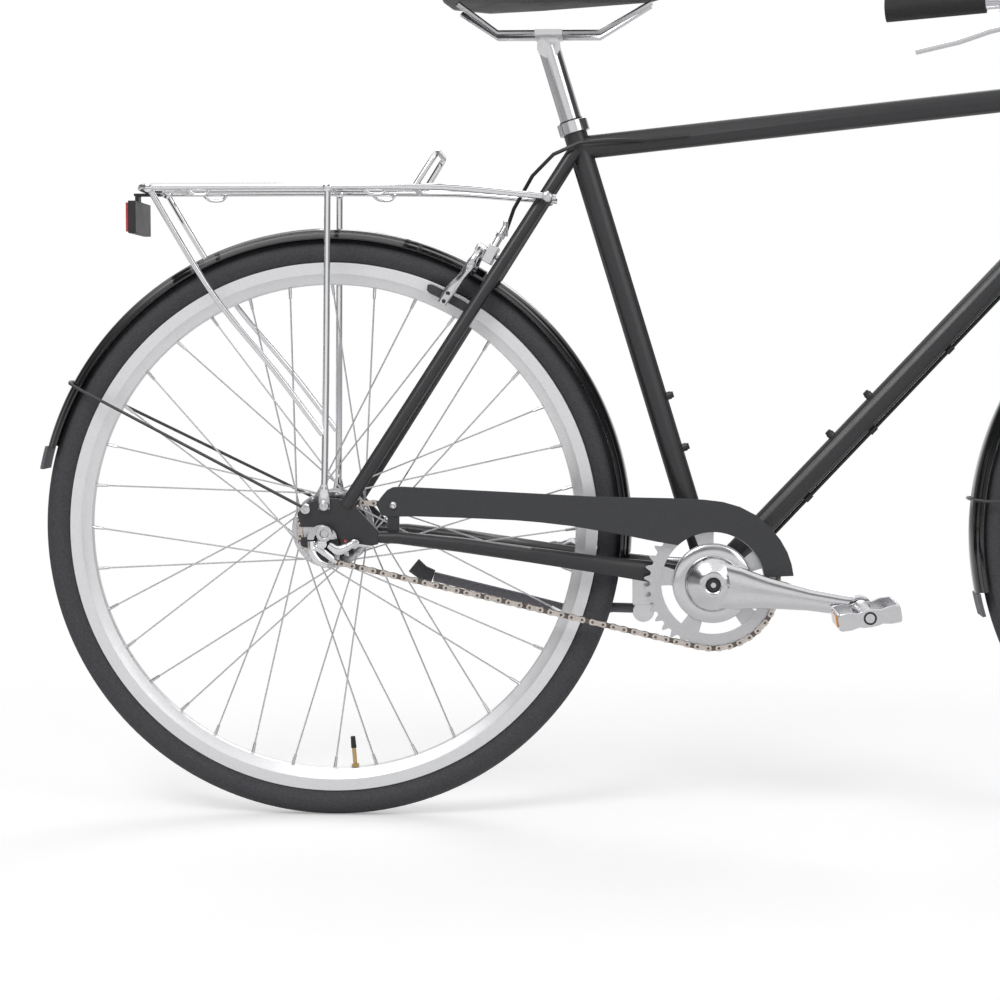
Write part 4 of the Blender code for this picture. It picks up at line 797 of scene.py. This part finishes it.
# Pedals: two side plates with a bearing cap, toothed end cages and reflectors
def build_pedal(name, side, angle):
    centre = (BRACKET[0] + CRANK_LENGTH * math.cos(angle), BRACKET[1] + CRANK_LENGTH * math.sin(angle))
    lean = math.radians(10)
    ax = Vector((math.cos(lean), 0, math.sin(lean)))
    az = Vector((-math.sin(lean), 0, math.cos(lean)))
    rider = "pedal_" + name

    def spot(along, t, up):
        return at(centre[0] + ax.x * along + az.x * up, t * side, centre[1] + ax.z * along + az.z * up)

    cage = Shape()
    for t0, t1 in ((91.0, 94.5), (176.5, 181.5)):
        rings = []
        profile = [(-34.8, -6), (-33, -9.6), (-22, -9.8), (-13, -8), (-8, -9.4), (0, -9.9), (8, -9.4),
                   (13, -8), (22, -9.8), (33, -9.6), (34.8, -6), (34.8, 6), (33, 9.6), (22, 9.8),
                   (13, 7.4), (8, 8.6), (0, 9.9), (-8, 8.6), (-13, 7.4), (-22, 9.8), (-33, 9.6),
                   (-34.8, 6)]
        for t in (t0, t1):
            rings.append([spot(a, t, u) for a, u in profile])
        cage.rings(rings)
    for fore in (-1, 1):
        cage.block(spot(33.4 * fore, 136, 0), (1.2, 41.5, 9.2), ax, az)
        cage.block(spot(30.5 * fore, 136, -8.4), (3.0, 41.5, 0.9), ax, az)
        for i in range(9):
            t = 100 + i * 9
            cage.block(spot(33.4 * fore, t, 9.2), (1.2, 2.1, 0.75), ax, az)
    cage.make("pedal_cage_" + name, "silver", rider, ("pedal_" + name,), 0.5)
    barrel = Shape().lathe([(5.4, 94 * side), (11, 94 * side), (9, 104 * side), (8.4, 136 * side),
                            (9.2, 170 * side), (9.6, 177 * side), (5.4, 177 * side)], centre, 36)
    barrel.make("pedal_barrel_" + name, "steel", rider, ("pedal_" + name,))
    cap = Shape().lathe([(0.02, 176.6 * side), (7.4, 176.6 * side), (7.4, 181.6 * side),
                         (6, 182 * side), (4.6, 181.2 * side), (0.02, 180.8 * side)], centre, 32)
    cap.make("pedal_cap_" + name, "black_plastic", rider, ("pedal_" + name,))
    lens = Shape()
    for fore in (-1, 1):
        lens.block(spot(35.2 * fore, 136, 0), (0.9, 26, 6.4), ax, az)
    lens.make("pedal_reflector_" + name, "amber", rider, (), 0.3)


build_pedal("right", 1, CRANK_ANGLE)
build_pedal("left", -1, CRANK_ANGLE + math.pi)


# Cable guides under the down tube and screws in the bottle bosses
along = Vector((math.cos(DOWN_ANGLE), 0, math.sin(DOWN_ANGLE)))
under = Vector((math.sin(DOWN_ANGLE), 0, -math.cos(DOWN_ANGLE)))
guides = Shape()
for distance in (150.0, 260.0, 390.0, 500.0):
    middle = at(BRACKET[0], 0, BRACKET[1]) + along * distance / 1000 + under * 0.0168
    guides.tube([middle - along * 0.005, middle + along * 0.005], 3.5, 16, 1)
guides.make("cable_guides", "black_plastic", "frame")
heads = Shape()
front_of = Vector((-math.sin(DOWN_ANGLE), 0, math.cos(DOWN_ANGLE)))
seat_way = Vector((-math.cos(SEAT_ANGLE), 0, math.sin(SEAT_ANGLE)))
seat_front = Vector((math.sin(SEAT_ANGLE), 0, math.cos(SEAT_ANGLE)))
for out, way, spots in ((front_of, along, (222.0, 286.0)), (seat_front, seat_way, (160.0, 224.0))):
    for distance in spots:
        seat = at(BRACKET[0], 0, BRACKET[1]) + way * distance / 1000 + out * 0.0181
        heads.rod(seat, seat + out * 0.0034, 4.2, 20, 3.6)
heads.make("boss_screws", "black_plastic", "frame")


# Floor, light and background: what metal reflects has pale panels with darker gaps between them
PANEL_HEIGHTS = ((0.0, 0.9), (0.2, 0.85), (0.32, 0.22), (0.46, 0.25), (0.62, 1.0))
PANEL_SIDES = ((0.0, 1.0), (0.55, 1.0), (0.75, 0.3), (1.0, 0.3))


def studio():
    floor_mesh = bpy.data.meshes.new("floor")
    floor_mesh.from_pydata([(-30, -12, 0), (30, -12, 0), (30, 60, 0), (-30, 60, 0)], [], [(0, 1, 2, 3)])
    floor = bpy.data.objects.new("floor", floor_mesh)
    bpy.context.scene.collection.objects.link(floor)
    pale = bpy.data.materials.new("pale_floor")
    pale.use_nodes = True
    nodes, links = pale.node_tree.nodes, pale.node_tree.links
    base = nodes["Principled BSDF"]
    base.inputs["Base Color"].default_value = (0.92, 0.92, 0.92, 1)
    base.inputs["Roughness"].default_value = 0.9
    base.inputs["Specular IOR Level"].default_value = 0.1
    path = nodes.new("ShaderNodeLightPath")
    glow = nodes.new("ShaderNodeEmission")
    glow.inputs["Color"].default_value = (1, 1, 1, 1)
    glow.inputs["Strength"].default_value = 0.30
    place = nodes.new("ShaderNodeTexCoord")
    apart = nodes.new("ShaderNodeVectorMath")
    apart.operation = "LENGTH"
    fade = nodes.new("ShaderNodeMapRange")
    fade.interpolation_type = "SMOOTHSTEP"
    fade.inputs["From Min"].default_value = 0.7
    fade.inputs["From Max"].default_value = 1.9
    links.new(place.outputs["Object"], apart.inputs[0])
    links.new(apart.outputs["Value"], fade.inputs["Value"])
    clear = nodes.new("ShaderNodeEmission")
    clear.inputs["Color"].default_value = (1, 1, 1, 1)
    far = nodes.new("ShaderNodeMixShader")
    joined = nodes.new("ShaderNodeAddShader")
    pick = nodes.new("ShaderNodeMixShader")
    links.new(base.outputs["BSDF"], joined.inputs[0])
    links.new(glow.outputs["Emission"], joined.inputs[1])
    links.new(path.outputs["Is Camera Ray"], pick.inputs["Fac"])
    links.new(base.outputs["BSDF"], pick.inputs[1])
    links.new(fade.outputs["Result"], far.inputs["Fac"])
    links.new(joined.outputs["Shader"], far.inputs[1])
    links.new(clear.outputs["Emission"], far.inputs[2])
    links.new(far.outputs["Shader"], pick.inputs[2])
    links.new(pick.outputs["Shader"], nodes["Material Output"].inputs["Surface"])
    floor_mesh.materials.append(pale)
    world = bpy.data.worlds.new("studio")
    bpy.context.scene.world = world
    world.use_nodes = True
    nodes, links = world.node_tree.nodes, world.node_tree.links
    sky = nodes["Background"]
    sky.inputs["Strength"].default_value = 0.46
    place = nodes.new("ShaderNodeTexCoord")
    split = nodes.new("ShaderNodeSeparateXYZ")
    ramp = nodes.new("ShaderNodeValToRGB")
    ramp.color_ramp.elements[0].position = 0.0
    ramp.color_ramp.elements[0].color = (0.30, 0.30, 0.31, 1)
    ramp.color_ramp.elements[1].position = 0.7
    ramp.color_ramp.elements[1].color = (1, 1, 1, 1)
    links.new(place.outputs["Generated"], split.inputs["Vector"])
    links.new(split.outputs["Z"], ramp.inputs["Fac"])
    links.new(ramp.outputs["Color"], sky.inputs["Color"])
    path = nodes.new("ShaderNodeLightPath")
    mirror = nodes.new("ShaderNodeMath")
    mirror.operation = "MAXIMUM"
    links.new(path.outputs["Is Glossy Ray"], mirror.inputs[0])
    links.new(path.outputs["Is Transmission Ray"], mirror.inputs[1])

    def tones_of(source, stops):
        tones = nodes.new("ShaderNodeValToRGB")
        while len(tones.color_ramp.elements) < len(stops):
            tones.color_ramp.elements.new(0.5)
        for element, (position, grey) in zip(tones.color_ramp.elements, stops):
            element.position = position
            element.color = (grey, grey, grey, 1)
        links.new(source, tones.inputs["Fac"])
        return tones.outputs["Color"]

    sideways = nodes.new("ShaderNodeMath")
    sideways.operation = "ABSOLUTE"
    links.new(split.outputs["X"], sideways.inputs[0])
    panels = nodes.new("ShaderNodeVectorMath")
    panels.operation = "MULTIPLY"
    links.new(tones_of(split.outputs["Z"], PANEL_HEIGHTS), panels.inputs[0])
    links.new(tones_of(sideways.outputs[0], PANEL_SIDES), panels.inputs[1])
    reflected = nodes.new("ShaderNodeBackground")
    links.new(panels.outputs["Vector"], reflected.inputs["Color"])
    white = nodes.new("ShaderNodeBackground")
    white.inputs["Color"].default_value = (1, 1, 1, 1)
    last = sky
    for ray, shown in ((mirror.outputs[0], reflected), (path.outputs["Is Camera Ray"], white)):
        pick = nodes.new("ShaderNodeMixShader")
        links.new(ray, pick.inputs["Fac"])
        links.new(last.outputs[0], pick.inputs[1])
        links.new(shown.outputs["Background"], pick.inputs[2])
        last = pick
    links.new(last.outputs[0], nodes["World Output"].inputs["Surface"])
    for name, place, size, power in (("key", (-1.6, -2.6, 3.0), 1.6, 48.0),
                                     ("fill", (2.2, -2.8, 2.2), 2.0, 24.0),
                                     ("back", (0.0, 2.8, 2.8), 2.2, 34.0)):
        data = bpy.data.lights.new(name, "AREA")
        data.size = size
        data.energy = power
        lamp = bpy.data.objects.new(name, data)
        lamp.location = place
        aim = Vector((-0.1, 0.0, 0.45)) - Vector(place)
        lamp.rotation_euler = aim.to_track_quat("-Z", "Y").to_euler()
        bpy.context.scene.collection.objects.link(lamp)


studio()
bpy.context.scene.view_settings.view_transform = "Standard"
